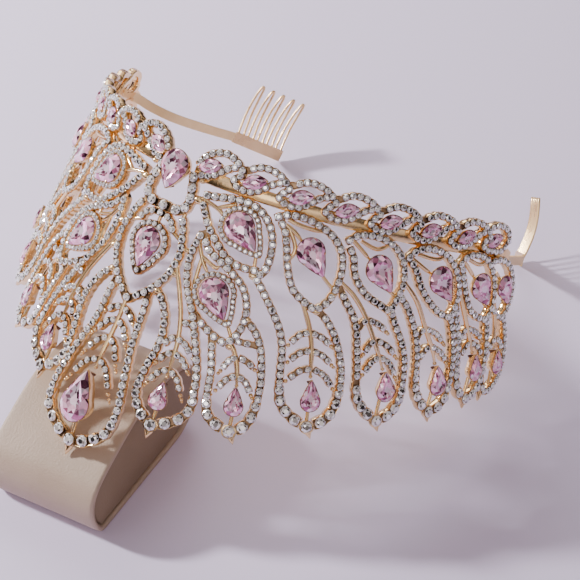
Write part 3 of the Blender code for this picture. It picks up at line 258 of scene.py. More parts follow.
# width, (s, h) points of the stays that carry the pear bezels
STAYS = (
    (1.6, ((0.0, 79.6), (0.0, 86.0))), (1.5, ((18.2, 66.4), (18.2, 72.0))),
    (1.5, ((36.6, 61.0), (37.0, 66.4))), (1.5, ((55.2, 54.2), (56.0, 59.8))),
    (1.5, ((75.2, 47.4), (75.2, 54.4))), (1.5, ((92.6, 44.0), (92.2, 50.2))),
    (1.5, ((106.8, 39.4), (106.2, 45.8))), (1.5, ((117.4, 37.4), (117.6, 42.4))),
    (1.5, ((29.8, 15.8), (30.6, 20.2))), (1.5, ((27.6, 36.4), (30.4, 40.8))),
    (1.5, ((0.0, 12.0), (0.0, 18.2))),
    (1.5, ((49.4, 16.8), (53.6, 20.0))), (1.5, ((69.6, 16.4), (72.8, 18.0))),
    (1.5, ((90.6, 16.0), (93.6, 18.0))), (1.5, ((106.6, 16.4), (109.6, 18.4))),
    (1.5, ((116.2, 15.6), (118.0, 17.0))), (1.5, ((4.6, 1.4), (6.6, 2.4))), (1.5, ((4.4, -2.4), (6.8, -3.5))),
    (2.2, ((7.6, 8.8), (10.8, 6.2))), (1.8, ((7.0, 11.6), (7.0, 13.8))), (1.8, ((10.0, 21.6), (13.0, 22.0))),
    (1.9, ((9.4, 28.6), (11.6, 30.0))), (2.0, ((7.2, 34.0), (8.6, 36.8))), (2.0, ((5.2, 36.6), (8.4, 36.6))),
    (1.8, ((5.6, 18.6), (9.4, 20.4))),
)
# (x, y, z) points of the right arm in the crown's own frame, from the band to the comb
ARM = ((74.0, 68.0, -0.6), (73.0, 74.0, -2.0), (71.0, 80.6, -4.2), (67.3, 90.4, -6.5), (64.0, 107.0, -8.8),
       (61.4, 122.2, -10.5))
SPINE = ((61.2, 123.0, -10.6), (51.2, 142.1, -14.2))
# (along, up) section of the block, from its foot near the feathers round the far end
BLOCK_SECTION = (
    (0.5, 0.0), (14.0, 0.0), (28.0, 0.0), (40.0, 0.0), (46.5, 1.7), (51.4, 5.8), (54.0, 11.8), (54.2, 18.0),
    (51.8, 23.2), (46.4, 27.0), (38.0, 29.2), (29.0, 29.4), (19.6, 27.6), (10.6, 24.3), (3.4, 21.2),
    (-1.4, 18.3), (-4.3, 14.4), (-5.2, 10.0), (-4.4, 5.0), (-2.4, 1.5),
)
# (s, h) points of the rope strands from the middle of their loops: over the loop, then under the next stone
LOOP_ARC = ((-7.4, -5.3), (-5.6, -5.8), (-4.1, -6.9), (-2.1, -7.7), (0.1, -7.8), (2.2, -7.45), (4.1, -6.7),
            (5.7, -5.5), (6.9, -4.1))
LOOP_UNDER = ((5.6, -2.9), (4.6, -1.4), (6.2, -0.2), (8.3, 0.15), (10.3, -0.15), (12.1, -1.0), (13.7, -2.4),
              (15.3, -3.8), (16.9, -4.9), (18.6, -5.4))
FIRST_ARC = ((-7.0, -2.2), (-6.3, -4.0), (-5.1, -5.5), (-3.6, -6.7), (-1.8, -7.5), (0.2, -7.9), (2.3, -7.5),
             (4.2, -6.7), (5.7, -5.5), (6.9, -4.1))
FIRST_UNDER = ((-5.9, -0.1), (-4.5, 0.4), (-3.1, -0.1), (-1.4, -0.9), (0.2, -2.4), (1.9, -3.8), (3.5, -4.9),
               (5.0, -5.5))
LAST_ARC = ((-6.6, -5.0), (-5.4, -5.9), (-3.8, -7.0), (-1.9, -7.7), (0.1, -7.7), (2.2, -7.1), (3.9, -5.9),
            (4.7, -4.0), (4.4, -2.0), (3.0, -0.4), (1.0, 0.2), (-1.0, 0.2))
# s, h, size of the gold knots where rails meet
KNOTS = (
    (9.7, 7.2, 1.6), (11.5, 21.8, 1.1), (10.6, 29.4, 1.2), (7.9, 35.6, 1.3), (31.0, 22.2, 1.4),
    (33.2, 34.4, 1.0), (30.8, 43.4, 1.2), (50.2, 26.9, 1.2), (71.6, 22.8, 1.2), (93.0, 21.9, 1.1),
    (108.8, 21.6, 1.0), (53.4, 21.0, 1.0), (72.9, 18.6, 1.0), (8.6, 1.8, 1.0),
)
# name, watts, colour, place, aim, shape and size of the lights
LIGHTS = (
    ("key", 13.5, (1.0, 0.98, 0.98), (-0.703, -0.2725, 0.489), (0.1, 0.35, 0.0), "DISK", 0.085),
    ("side", 3.5, (1.0, 0.97, 0.98), (-0.5, 0.5, 0.6), (0.0, 0.0, 0.0), "RECTANGLE", 0.5),
    ("front", 1.8, (1.0, 0.94, 0.93), (0.5, -0.9, 0.9), (0.0, 0.0, 0.0), "RECTANGLE", 0.5),
)
# Height of the sky and its colour
SKY = ((0.0, (0.14, 0.11, 0.10)), (0.35, (0.42, 0.36, 0.35)), (0.8, (0.90, 0.80, 0.79)))
# Place and axes of the camera, fitted to the photograph, and its lens on a 36 mm sensor
CAMERA_PLACE = (0.24858, -0.2992, 0.3684)
RIGHT = (0.80376, 0.59447, -0.02401)
DOWN = (0.38123, -0.54559, -0.74634)
AHEAD = (-0.45677, 0.59072, -0.66515)
LENS = 99.686


def smooth_step(x):
    """Eased ramp from 0 to 1."""
    x = np.clip(x, 0.0, 1.0)
    return x * x * (3.0 - 2.0 * x)


def oval_table():
    """Arc length, x, y and outward normal along the right half of the plan oval."""
    t = np.linspace(0.0, math.pi * 0.9, 721)
    x, y = HALF_BREADTH * np.sin(t), HALF_LENGTH * (1.0 - np.cos(t))
    arc = np.concatenate([[0.0], np.cumsum(np.hypot(np.diff(x), np.diff(y)))])
    nx, ny = np.sin(t) * HALF_LENGTH, -np.cos(t) * HALF_BREADTH
    size = np.hypot(nx, ny)
    return arc, x, y, nx / size, ny / size


OVAL = oval_table()


def proud(s, h):
    """How far the centre feather stands off the crown surface."""
    rise = smooth_step((h - PROUD_FROM) / (PROUD_FULL - PROUD_FROM))
    fall = 1.0 - smooth_step((h - PROUD_KEEP) / (PROUD_END - PROUD_KEEP))
    reach = np.where(h > WIDER_FROM, PROUD_REACH + WIDER_REACH, PROUD_REACH)
    return PROUD * rise * fall * (np.abs(s) < reach)


def crown_point(s, h, level):
    """Point of the flat pattern on the flared oval, in the crown's own frame, millimetres."""
    s, h, level = np.broadcast_arrays(*(np.asarray(v, dtype=float) for v in (s, h, level)))
    level = level + proud(s, h)
    x, y, nx, ny = (np.interp(np.abs(s), OVAL[0], column) for column in OVAL[1:])
    out = math.sin(FLARE) * h + math.cos(FLARE) * level
    up = math.sin(FLARE) * level - math.cos(FLARE) * h
    return np.stack([np.sign(s) * (x + nx * out), y + ny * out, up], axis=-1)


def to_world(points):
    """Tips the crown back about its front and puts it over the floor; metres."""
    x, y, z = np.moveaxis(np.asarray(points, dtype=float), -1, 0)
    back = y * math.cos(PITCH) + z * math.sin(PITCH) - ORIGIN_Y
    up = z * math.cos(PITCH) - y * math.sin(PITCH) + BAND_HEIGHT
    return np.stack([x, back, up], axis=-1) * MM


def arc_lengths(path):
    """Distance along a polyline at each of its points."""
    return np.concatenate([[0.0], np.cumsum(np.linalg.norm(np.diff(path, axis=0), axis=1))])


def even(fine, step=0.5, count=None):
    """Even samples along a polyline."""
    arc = arc_lengths(fine)
    count = max(1, round(arc[-1] / step)) if count is None else count
    at = np.linspace(0.0, arc[-1], count + 1)
    return np.stack([np.interp(at, arc, column) for column in fine.T], axis=1)


def curve(points, closed=False):
    """Fine Catmull-Rom curve through the points."""
    p = np.array(points, dtype=float)
    if closed:
        p = np.vstack([p[-1:], p, p[:2]])
    elif len(p) == 2:
        return even(p, 0.1)
    else:
        p = np.vstack([2 * p[0] - p[1], p, 2 * p[-1] - p[-2]])
    t = (np.arange(16) / 16)[:, None]
    out = []
    for a, b, c, d in zip(p, p[1:], p[2:], p[3:]):
        out.append(0.5 * (2 * b + (c - a) * t + (2 * a - 5 * b + 4 * c - d) * t ** 2
                          + (3 * b - 3 * c + d - a) * t ** 3))
    return np.vstack(out + [p[-2:-1]])


def unit(v):
    """Vectors at length 1."""
    return v / np.linalg.norm(v, axis=-1, keepdims=True)


def circle(count, turn=0.0):
    """Flat points round a circle of radius 1, anticlockwise."""
    a = turn + np.arange(count) * 2 * math.pi / count
    return np.stack([np.cos(a), np.sin(a)], axis=1)


class Shell:
    """Points, faces and material slots of one mesh piece, in metres."""

    def __init__(self, parts=()):
        self.parts = list(parts)

    def add(self, points, faces, slots=0):
        """Adds one closed part."""
        slots = [slots] * len(faces) if isinstance(slots, int) else slots
        self.parts.append((np.asarray(points, dtype=float), faces, slots))

    def mirrored(self, first=0):
        """Mirror images of the parts from the first on."""
        flip = np.array([-1.0, 1.0, 1.0])
        return [(p * flip, [f[::-1] for f in faces], slots) for p, faces, slots in self.parts[first:]]

    def piece(self, name, materials, slot, smooth=None):
        """Makes the mesh object, riding on the root body."""
        count, faces, slots = 0, [], []
        for points, part, marks in self.parts:
            faces += [tuple(v + count for v in f) for f in part]
            slots += marks
            count += len(points)
        mesh = bpy.data.meshes.new(name)
        mesh.from_pydata(np.vstack([p for p, _, _ in self.parts]), [], faces)
        for material in materials:
            mesh.materials.append(material)
        mesh.polygons.foreach_set("material_index", slots)
        if smooth:
            mesh.shade_smooth()
            mesh.set_sharp_from_angle(angle=math.radians(smooth))
        mesh.update()
        thing = bpy.data.objects.new(name, mesh)
        bpy.context.scene.collection.objects.link(thing)
        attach(thing, "root")
        return thing


def on_crown(path, level):
    """World points of a flat path and the outward directions there."""
    p = to_world(crown_point(path[:, 0], path[:, 1], level))
    return p, unit(to_world(crown_point(path[:, 0], path[:, 1], np.add(level, 1.0))) - p)


def bands(count, n, closed=False):
    """Quads between rings of n points each, and the two ends of a bar that isn't closed."""
    faces = []
    for i in range(count if closed else count - 1):
        a, b = i * n, (i + 1) % count * n
        faces += [(a + j, a + (j + 1) % n, b + (j + 1) % n, b + j) for j in range(n)]
    if not closed:
        faces += [tuple(range(n - 1, -1, -1)), tuple(range((count - 1) * n, count * n))]
    return faces


def sweep(shell, p, out, profile, scale=(1.0, 1.0), closed=False, marks=None):
    """Closed bar along world points. Its section is (across, outward) in millimetres, anticlockwise."""
    ahead = unit(np.roll(p, -1, axis=0) - np.roll(p, 1, axis=0) if closed else np.gradient(p, axis=0))
    side = unit(np.cross(out, ahead))
    up = np.cross(ahead, side)
    section = np.asarray(profile, dtype=float)[None] * np.broadcast_to(scale, (len(p), 2))[:, None]
    rings = p[:, None] + (side[:, None] * section[..., :1] + up[:, None] * section[..., 1:]) * MM
    n = len(profile)
    slots = (marks or [0] * n) * (len(p) if closed else len(p) - 1) + ([] if closed else [0, 0])
    shell.add(rings.reshape(-1, 3), bands(len(p), n, closed), slots)


def bar_section(width, thick):
    """Flat bar's section with its edges broken."""
    w, t, inner, low = width / 2.0, thick / 2.0, width / 2.0 - 0.15, thick / 2.0 - 0.2
    return [(-inner, -t), (inner, -t), (w, -low), (w, low), (inner, t), (-inner, t), (-w, low), (-w, -low)]


def tapered(count, start, end, reach=0.25):
    """Scale along a wire that thins towards its ends."""
    t = np.linspace(0.0, 1.0, count)
    a = start + (1.0 - start) * smooth_step(t / reach)
    b = end + (1.0 - end) * smooth_step((1.0 - t) / reach)
    return np.repeat((a * b)[:, None], 2, axis=1)


# Seats (s, h, level, radius) of the small stones and grains, gathered while the rows are laid.
gems = []
grains = []


def stone_row(shell, path, width, radius, pitch, level=0.0, closed=False, grain=GRAIN_RADIUS, grow=0.0):
    """A rail along a flat path with a row of small stones in it, swelling round each stone.

    A row that grows is wider by that share at its end.
    """
    arc = arc_lengths(path)
    count = max(1, round(arc[-1] / pitch / (1.0 + grow / 2.0)))
    u = np.linspace(0.0, 1.0, 4 * count + 1)
    at = arc[-1] * (u + grow * u ** 2 / 2.0) / (1.0 + grow / 2.0)
    p = np.stack([np.interp(at, arc, column) for column in path.T], axis=1)
    levels = np.interp(np.linspace(0, 1, len(p)), np.linspace(0, 1, np.size(level)), np.atleast_1d(level))
    phase = np.arange(len(p)) % 4
    swell = np.where(phase == 2, 1.0, np.where(phase == 0, 0.82, 0.95)) * (1.0 + grow * u)
    if closed:
        p, levels, swell = p[:-1], levels[:-1], swell[:-1]
    points, out = on_crown(p, levels)
    section = np.array(RAIL_SECTION) * np.array([(width + CHANNEL_EXTRA) / 2.0, 1.0])
    sweep(shell, points, out, section, np.stack([swell, np.ones(len(p))], axis=1), closed, RAIL_MARKS)
    around = np.roll(p, -1, axis=0) - np.roll(p, 1, axis=0) if closed else np.gradient(p, axis=0)
    across = unit(around)[:, ::-1] * np.array([-1.0, 1.0])
    for k in range(count):
        i = 4 * k + 2
        gems.append((p[i, 0], p[i, 1], levels[i] + GEM_LEVEL, radius * (1.0 + grow * u[i])))
        if k or closed:
            for edge in (-1.0, 1.0):
                s, h = p[4 * k] + across[4 * k] * edge * width * 0.4
                grains.append((s, h, levels[4 * k] + GRAIN_LEVEL, grain))


def spaced(rows, kept, factor):
    """The rows that stay clear of each other and of those kept; rows near the centre move onto it."""
    out = []
    for s, h, level, radius in rows:
        if abs(s) < radius * 0.95:
            s = 0.0
        if s < 0.0:
            continue
        clear = all((s - a) ** 2 + (h - b) ** 2 > ((radius + r) * factor) ** 2 for a, b, _, r in out + kept)
        if clear:
            out.append((s, h, level, radius))
    return out


def stacked(tiers):
    """Points of flat rings, each scaled and set at a height."""
    return np.vstack([np.c_[ring * scale, np.full(len(ring), height)] for ring, scale, height in tiers])


def chaton(sides=8):
    """Small round stone: table, star facets, outer facets, and a rim and pavilion darkened with painted
    shade; radius 1.
    """
    ring, half = circle(sides), circle(sides, math.pi / sides)
    points = np.vstack([stacked(((ring, 0.4, 0.42), (half, 0.7, 0.3), (ring, 0.95, 0.02), (ring, 1.0, -0.2))),
                        [[0.0, 0.0, -0.44]]])
    faces, slots = [tuple(range(sides))], [1]
    mid, edge, rim = sides, 2 * sides, 3 * sides
    for i in range(sides):
        j, back = (i + 1) % sides, (i - 1) % sides
        faces += [(i, mid + i, j), (i, mid + back, mid + i), (mid + back, edge + i, mid + i),
                  (mid + i, edge + i, edge + j), (edge + i, rim + i, rim + j, edge + j),
                  (4 * sides, rim + j, rim + i)]
        slots += [pattern[i % len(pattern)] for pattern in CHATON_FACETS]
    return points, faces, slots


def bead(sides=6):
    """Small round bead; radius 1."""
    ring = circle(sides)
    points = np.vstack([stacked(((ring, 0.8, -0.8), (ring, 1.0, 0.0), (ring, 0.7, 0.7))), [[0.0, 0.0, 1.0]]])
    faces = [tuple(range(sides - 1, -1, -1))]
    for i in range(sides):
        j = (i + 1) % sides
        faces += [(i, j, sides + j, sides + i), (sides + i, sides + j, 2 * sides + j, 2 * sides + i),
                  (2 * sides + i, 2 * sides + j, 3 * sides)]
    return points, faces, [0] * len(faces)


def sideways(s, h):
    """Direction across the crown at a place of the flat pattern."""
    return unit(crown_point(s + 0.5, h, 0.0) - crown_point(s - 0.5, h, 0.0))


def scatter(shell, rows, shape, wobble, seed):
    """Copies a shape to every row on both halves of the crown, each turned and tipped a little."""
    points, faces, slots = shape
    draw = random.Random(seed)
    for middle in (True, False):
        part = np.array([r for r in rows if (r[0] == 0.0) == middle])
        if not len(part):
            continue
        s, h, level, radius = part.T
        origin = crown_point(s, h, level)
        out = unit(crown_point(s, h, level + 1.0) - origin)
        turn = np.array([[draw.uniform(0, math.pi), draw.gauss(0, wobble), draw.gauss(0, wobble)] for _ in s])
        across = sideways(s, h)
        out = unit(out + across * turn[:, 1:2] + np.cross(out, across) * turn[:, 2:3])
        across = unit(across - out * np.sum(across * out, axis=1, keepdims=True))
        along = np.cross(out, across)
        cosine, sine = np.cos(turn[:, :1]), np.sin(turn[:, :1])
        right, up = across * cosine + along * sine, along * cosine - across * sine
        body = (right[:, None] * points[None, :, :1] + up[:, None] * points[None, :, 1:2]
                + out[:, None] * points[None, :, 2:])
        copies = to_world(origin[:, None] + body * radius[:, None, None]).reshape(-1, 3)
        every = [tuple(v + k * len(points) for v in f) for k in range(len(part)) for f in faces]
        first = len(shell.parts)
        shell.add(copies, every, slots * len(part))
        if not middle:
            shell.parts += shell.mirrored(first)


def seat(s, h, level):
    """Origin, right, up and outward directions of a stone's seat, in the crown's own frame."""
    origin = crown_point(s, h, level)
    across = sideways(s, h)
    down = crown_point(s, h + 0.5, 0.0) - crown_point(s, h - 0.5, 0.0)
    up = -unit(down - across * float(down @ across))
    return origin, across, up, np.cross(across, up)


def at_seat(place, flat, level):
    """World points of (right, up) millimetres at a height over a seat."""
    origin, across, up, out = place
    flat = np.asarray(flat, dtype=float)
    level = np.broadcast_to(level, len(flat))
    return to_world(origin + across * flat[:, :1] + up * flat[:, 1:] + out * level[:, None])


def pear_outline(radius, point, grow, count):
    """Pear outline about the centre of its round end, its point first, on the +x side, anticlockwise."""
    r, tip = radius + grow, point + grow * 1.4
    side = math.acos(r / tip) * 0.86
    a = side + np.linspace(0.0, 1.0, 60) * (2 * math.pi - 2 * side)
    arc = np.stack([r * np.cos(a), r * np.sin(a)], axis=1)
    end = np.array([tip, 0.0])
    t = np.linspace(0.0, 1.0, 20)[1:, None]
    control = arc[0] + (end - arc[0]) * 0.5 + np.array([0.02, 0.14]) * r
    upper = (arc[0] * (1 - t) ** 2 + 2 * control * t * (1 - t) + end * t ** 2)[::-1]
    ring = np.vstack([upper, arc, upper[::-1] * np.array([1.0, -1.0])])
    return even(ring, count=count)[:-1]


def marquise_outline(size, grow, count):
    """Pointed oval outline, a point first, anticlockwise."""
    t = np.linspace(1.0, -1.0, 60)
    x, y = t * (size[0] / 2 + grow * 1.2), (1 - t ** 2) * (size[1] / 2 + grow)
    ring = np.vstack([np.stack([x, y], axis=1), np.stack([x, -y], axis=1)[::-1][1:]])
    return even(ring, count=count)[:-1]


def turned(flat, degrees):
    """Flat points turned anticlockwise."""
    a = math.radians(degrees)
    return flat @ np.array([[math.cos(a), math.sin(a)], [-math.sin(a), math.cos(a)]])


def cut_stone(shell, here, ring, centre, rise, depth, table, turn):
    """Faceted stone: a mirror image of its pavilion in the table, then star, main and girdle facets."""
    n = len(ring) // 2
    even_ring, odd_ring = ring[0::2], ring[1::2]
    tiers = ((even_ring, 0.24, rise * 0.66), (odd_ring, 0.46, rise * 0.8), (even_ring, table, rise),
             (odd_ring, table * 0.42 + 0.56, rise * 0.6), (ring, 1.0, 0.1), (ring, 1.0, -0.12),
             (even_ring, 0.5, -depth))
    points = np.vstack([at_seat(here, centre + (p - centre) * scale, level) for p, scale, level in tiers])
    inner, mid, star, top, low, base = n, 2 * n, 3 * n, 4 * n, 6 * n, 8 * n
    faces, slots = [tuple(range(n)), tuple(range(base + n - 1, base - 1, -1))], [1, 4]
    for k in range(n):
        j, back = (k + 1) % n, (k - 1) % n
        g, g1, g2 = 2 * k, 2 * k + 1, (2 * k + 2) % (2 * n)
        faces += [(k, inner + k, j), (k, inner + back, inner + k), (inner + back, mid + k, inner + k),
                  (inner + k, mid + k, mid + j), (mid + k, star + k, mid + j),
                  (mid + k, star + back, top + g, star + k), (star + k, top + g, top + g1),
                  (star + k, top + g1, top + g2), (top + g, low + g, low + g1, top + g1),
                  (top + g1, low + g1, low + g2, top + g2), (base + j, low + g2, low + g1),
                  (base + k, base + j, low + g1), (base + k, low + g1, low + g)]
        # Each facet takes a rose tone; slot 1, on the table too, is painted highlight and slot 3 painted
        # shade.
        slots += [marks[(k + turn + shift) // share % len(marks)] for marks, share, shift in STONE_FACETS]
    shell.add(points, faces, slots)


def bezel(shell, here, ring, depth, slant=0.9):
    """Gold cup under the edge of a stone, narrower at its foot; part of its walls and its rim take painted
    shade.
    """
    section = [(slant, -depth), (slant + 0.3, -depth)] + CUP_RIM
    p = at_seat(here, ring, 0.0)
    out = unit(at_seat(here, ring, 1.0) - p)
    sweep(shell, p, out, section, closed=True, marks=CUP_MARKS)


def blob(shell, here, x, y, level, size):
    """Rounded claw at a seat."""
    points, faces, _ = bead(8)
    body = points * np.asarray(size)
    shell.add(at_seat(here, body[:, :2] + np.array([x, y]), body[:, 2] + level), faces)


def boss(shell, outline, layers):
    """Closed raised form over a flat (s, h) outline; layers are (scale, level)."""
    centre = outline.mean(axis=0)
    rings = []
    for scale, level in layers:
        p = centre + (outline - centre) * scale
        rings.append(to_world(crown_point(p[:, 0], p[:, 1], level)))
    shell.add(np.vstack(rings), [f[::-1] for f in bands(len(layers), len(outline))])


def make_material(name, build):
    """Node material with its Principled shader passed to build."""
    material = bpy.data.materials.new(name)
    material.use_nodes = True
    tree = material.node_tree
    build(tree, tree.nodes["Principled BSDF"])
    return material


def node(tree, kind, links=(), **values):
    """Adds a node, sets its inputs or properties by name, and links sockets into it."""
    made = tree.nodes.new(kind)
    for key, value in values.items():
        if key in made.inputs:
            made.inputs[key].default_value = value
        else:
            setattr(made, key, value)
    for socket, source in links:
        tree.links.new(source, made.inputs[socket])
    return made


def ramp(tree, source, stops):
    """Colour ramp over a value."""
    made = node(tree, "ShaderNodeValToRGB", [("Fac", source)])
    elements = made.color_ramp.elements
    for i, (position, colour) in enumerate(stops):
        element = elements[i] if i < 2 else elements.new(position)
        element.position = position
        element.color = (*colour, 1.0)
    return made.outputs["Color"]


def noise(tree, place, scale, detail):
    """Noise over a place."""
    made = node(tree, "ShaderNodeTexNoise", [("Vector", place)], Scale=scale, Detail=detail)
    return made.outputs["Fac"]


def map_range(tree, value, source, target):
    """Value mapped from one range to another, clamped."""
    ends = {"From Min": source[0], "From Max": source[1], "To Min": target[0], "To Max": target[1]}
    return node(tree, "ShaderNodeMapRange", [("Value", value)], **ends).outputs["Result"]


def drifting(tree, shader, scale, detail, *stops):
    """Base colour that drifts with a noise; gives the place and the noise."""
    place = node(tree, "ShaderNodeTexCoord").outputs["Object"]
    drift = noise(tree, place, scale, detail)
    tree.links.new(ramp(tree, drift, stops), shader.inputs["Base Color"])
    return place, drift


def bump(tree, shader, height, strength, distance):
    """Bump from a height into the shader."""
    made = node(tree, "ShaderNodeBump", [("Height", height)], Strength=strength, Distance=distance)
    tree.links.new(made.outputs["Normal"], shader.inputs["Normal"])


def gold(pale, deep, rough):
    """Polished cast plating: colour drifts a little, and fine casting waves."""
    def build(tree, shader):
        place, drift = drifting(tree, shader, 120.0, 2.0, (0.3, deep), (0.7, pale))
        shader.inputs["Metallic"].default_value = 1.0
        shine = map_range(tree, drift, (0.25, 0.75), (rough * 0.75, rough * 1.35))
        tree.links.new(shine, shader.inputs["Roughness"])
        bump(tree, shader, noise(tree, place, 900.0, 2.0), 0.2, 0.00015)
    return build


def plain(colour, roughness):
    """Plain matt finish of the floor."""
    def build(_, shader):
        shader.inputs["Base Color"].default_value = (*colour, 1.0)
        shader.inputs["Roughness"].default_value = roughness
    return build


def facet(pale, deep, metallic, rough):
    """Foiled facets whose brightness drifts from stone to stone."""
    def build(tree, shader):
        drifting(tree, shader, 420.0, 1.0, (0.35, deep), (0.6, pale))
        shader.inputs["Metallic"].default_value = metallic
        shader.inputs["Roughness"].default_value = rough
    return build


def leather(pale, deep, grain):
    """Smooth leatherette with a fine pebble grain and slight patches."""
    def build(tree, shader):
        place, _ = drifting(tree, shader, 45.0, 3.0, (0.3, deep), (0.7, pale))
        shader.inputs["Roughness"].default_value = 0.52
        cells = node(tree, "ShaderNodeTexVoronoi", [("Vector", place)], Scale=grain)
        fine = noise(tree, place, grain * 2.5, 4.0)
        both = node(tree, "ShaderNodeMath", [(0, cells.outputs["Distance"]), (1, fine)])
        bump(tree, shader, both.outputs[0], 0.22, 0.0003)
    return build


GOLD = make_material("pale gold plating", gold((0.96, 0.73, 0.42), (0.88, 0.59, 0.29), 0.16))
ARM_GOLD = make_material("brushed gold of the arms", gold((0.92, 0.71, 0.37), (0.85, 0.62, 0.29), 0.34))
# Gold darkened with painted shade, for the rails' channels and the small stones' rims and pavilions.
GOLD_IN_PAINTED_SHADE = make_material("gold in painted recess shade", gold((0.46, 0.31, 0.18), (0.24, 0.15, 0.09), 0.3))
# Gold darkened with painted shade, for the walls and rims of the stones' cups.
GOLD_WITH_PAINTED_SHADE_UNDER_STONES = make_material("gold with painted shade under the stones", gold((0.22, 0.13, 0.10), (0.13, 0.07, 0.055), 0.3))
COMB_GOLD = make_material("pale gold comb wire", gold((0.95, 0.71, 0.39), (0.88, 0.61, 0.31), 0.28))
BRIGHT = make_material("bright crystal facets", facet((1.0, 1.0, 1.0), (0.88, 0.88, 0.90), 0.25, 0.1))
MIRROR = make_material("mirror crystal facets", facet((1.0, 1.0, 1.0), (0.90, 0.90, 0.92), 1.0, 0.05))
# Crystal facets darkened with painted dark reflections.
CRYSTAL_WITH_PAINTED_DARK_REFLECTION = make_material("crystal facets with painted dark reflections", facet((0.40, 0.36, 0.35), (0.20, 0.17, 0.17), 1.0, 0.1))
ROSE = make_material("rose crystal facets", facet((1.0, 0.58, 0.77), (0.95, 0.42, 0.64), 0.85, 0.06))
# Lighter rose facets, a painted highlight; the cut stones' tables take it.
ROSE_WITH_PAINTED_HIGHLIGHT = make_material("rose facets with painted highlight", facet((1.0, 0.84, 0.94), (1.0, 0.70, 0.86), 0.55, 0.1))
ROSE_GLOW = make_material("clear rose facets", facet((0.95, 0.56, 0.74), (0.85, 0.38, 0.58), 0.2, 0.12))
# Darker rose facets, painted shade.
ROSE_WITH_PAINTED_SHADE = make_material("rose facets with painted shade", facet((0.58, 0.22, 0.36), (0.34, 0.11, 0.20), 0.95, 0.08))
BEIGE = make_material("beige leatherette", leather((0.47, 0.355, 0.275), (0.42, 0.31, 0.235), 1500.0))
TAUPE = make_material("taupe leatherette", leather((0.27, 0.19, 0.12), (0.23, 0.16, 0.095), 1300.0))
# Slots 2 and 3 of the small stones, and 1 and 3 of the cut stones, carry painted light and shade.
CRYSTAL = [BRIGHT, MIRROR, CRYSTAL_WITH_PAINTED_DARK_REFLECTION, GOLD_IN_PAINTED_SHADE]
ROSE_CRYSTAL = [ROSE, ROSE_WITH_PAINTED_HIGHLIGHT, ROSE_GLOW, ROSE_WITH_PAINTED_SHADE, GOLD]


def tip_row(shell, width, points):
    """Row that grows towards the large stone in its round seat at a feather's tip."""
    path = curve(points)
    tip = path[-1] * np.array([1.0 if path[-1][0] > 1.0 else 0.0, 1.0])
    size = width * TIP_GEM
    gems.append((*tip, 0.9, size))
    boss(shell, tip + (size + 0.12) * circle(16), TIP_SEAT)
    path = path[np.linalg.norm(path - tip, axis=1) > size * 0.96]
    row = width * TIP_ROW
    stone_row(shell, path, row, row / 2.0 + 0.14, row + 0.16, grow=TIP_GROW)


def rail_rows(shell):
    """Rows on the rails and on the feathers' tips."""
    for width, points, *tip in RAILS:
        stone_row(shell, curve(points), width, width / 2.0 + 0.08, width + 0.15)
        if tip:
            tip_row(shell, *tip)


def barb_rows(shell):
    """Rows on the barbs, each ending in three grains that get smaller."""
    for s, h, inward, inward_drop, outward, outward_drop in BARBS:
        for reach, drop in ((-inward, inward_drop), (outward, outward_drop)):
            if s > 0.0 or reach > 0.0:
                path = curve([(s + reach * a, h + drop * b) for a, b in BARB_COURSE])
                stone_row(shell, path[int(len(path) * 0.05):int(len(path) * 0.9)], *BARB_ROW)
                for a, b, level, radius in BARB_GRAINS:
                    grains.append((s + reach * a, h + drop * b, level, radius))


def strand(shell, points, middle):
    """Row of one rope strand, raised where it runs over the loop."""
    path = curve(points)
    over = smooth_step((path[:, 0] + 7.0) / 4.0) * (1.0 - smooth_step((path[:, 0] - 5.5) / 2.0))
    over = np.where(path[:, 1] < -3.5, over, 0.0)
    stone_row(shell, path + np.array([middle, 0.0]), *ROPE_ROW, ROPE_RISE * over)


def rope_rows(shell):
    """Rows of the rope border, loop by loop."""
    for i in range(LOOPS):
        middle = LOOP_FIRST + LOOP_PITCH * i
        if i == LOOPS - 1:
            strand(shell, LAST_ARC, middle - LOOP_LAST_BACK)
        elif i == LOOPS - 2:
            strand(shell, LOOP_ARC + LOOP_UNDER[:5], middle)
        else:
            strand(shell, (LOOP_ARC if i else FIRST_ARC) + LOOP_UNDER, middle)
    strand(shell, FIRST_UNDER, LOOP_FIRST)


def halo_rows(shell):
    """Closed rows round the pears that have a halo."""
    for _, s, h, radius, point, degrees, _, halo in PEARS:
        if halo:
            size = HALO_CENTRE if s == 0.0 else HALO_SIDE
            ring = turned(pear_outline(radius, point, size + HALO_GAP, 160), degrees) + np.array([s, h])
            row = (2.0 * size, 1.02 * size, 2.12 * size)
            stone_row(shell, np.vstack([ring, ring[:1]]), *row, 0.5, True, 0.18)


def gold_wires():
    """Shafts, sprigs, stays, the plain strip, the nubs at the tips and the knots where rails meet."""
    sides, middle = Shell(), Shell()
    for width, points in WIRES:
        path = even(curve(points), 0.7)
        p, out = on_crown(path, WIRE_LEVEL)
        target = middle if points[0][0] == 0.0 else sides
        sweep(target, p, out, width * 0.6 * circle(8), tapered(len(p), 0.85, 0.5))
        grains.append((*points[-1], 0.3, width * 0.5))
    for width, points in STAYS:
        p, out = on_crown(even(curve(points), 0.8), STAY_LEVEL)
        sweep(middle if points[0][0] == 0.0 else sides, p, out, width * 0.38 * circle(8))
    p, out = on_crown(even(curve(BAND), 1.5), BAND_LEVEL)
    sweep(sides, p, out, BAND_SECTION)
    for s, h, half, length, degrees in NUBS:
        t = np.linspace(0.0, 1.0, 9)
        edge = np.stack([-1.2 + (length + 1.2) * t, half * (1 - t ** 1.6)], axis=1)
        outline = np.vstack([edge, (edge * np.array([1.0, -1.0]))[::-1][1:]])
        outline = turned(outline + np.array([0.6, 0.0]), degrees) + np.array([s, h])
        boss(middle if s == 0.0 else sides, outline[::-1], NUB_LAYERS)
    for s, h, size in KNOTS:
        boss(sides, np.array([s, h]) + size * circle(12) * np.array([1.0, 0.8]), KNOT_LAYERS)
    return Shell(sides.parts + sides.mirrored() + middle.parts)


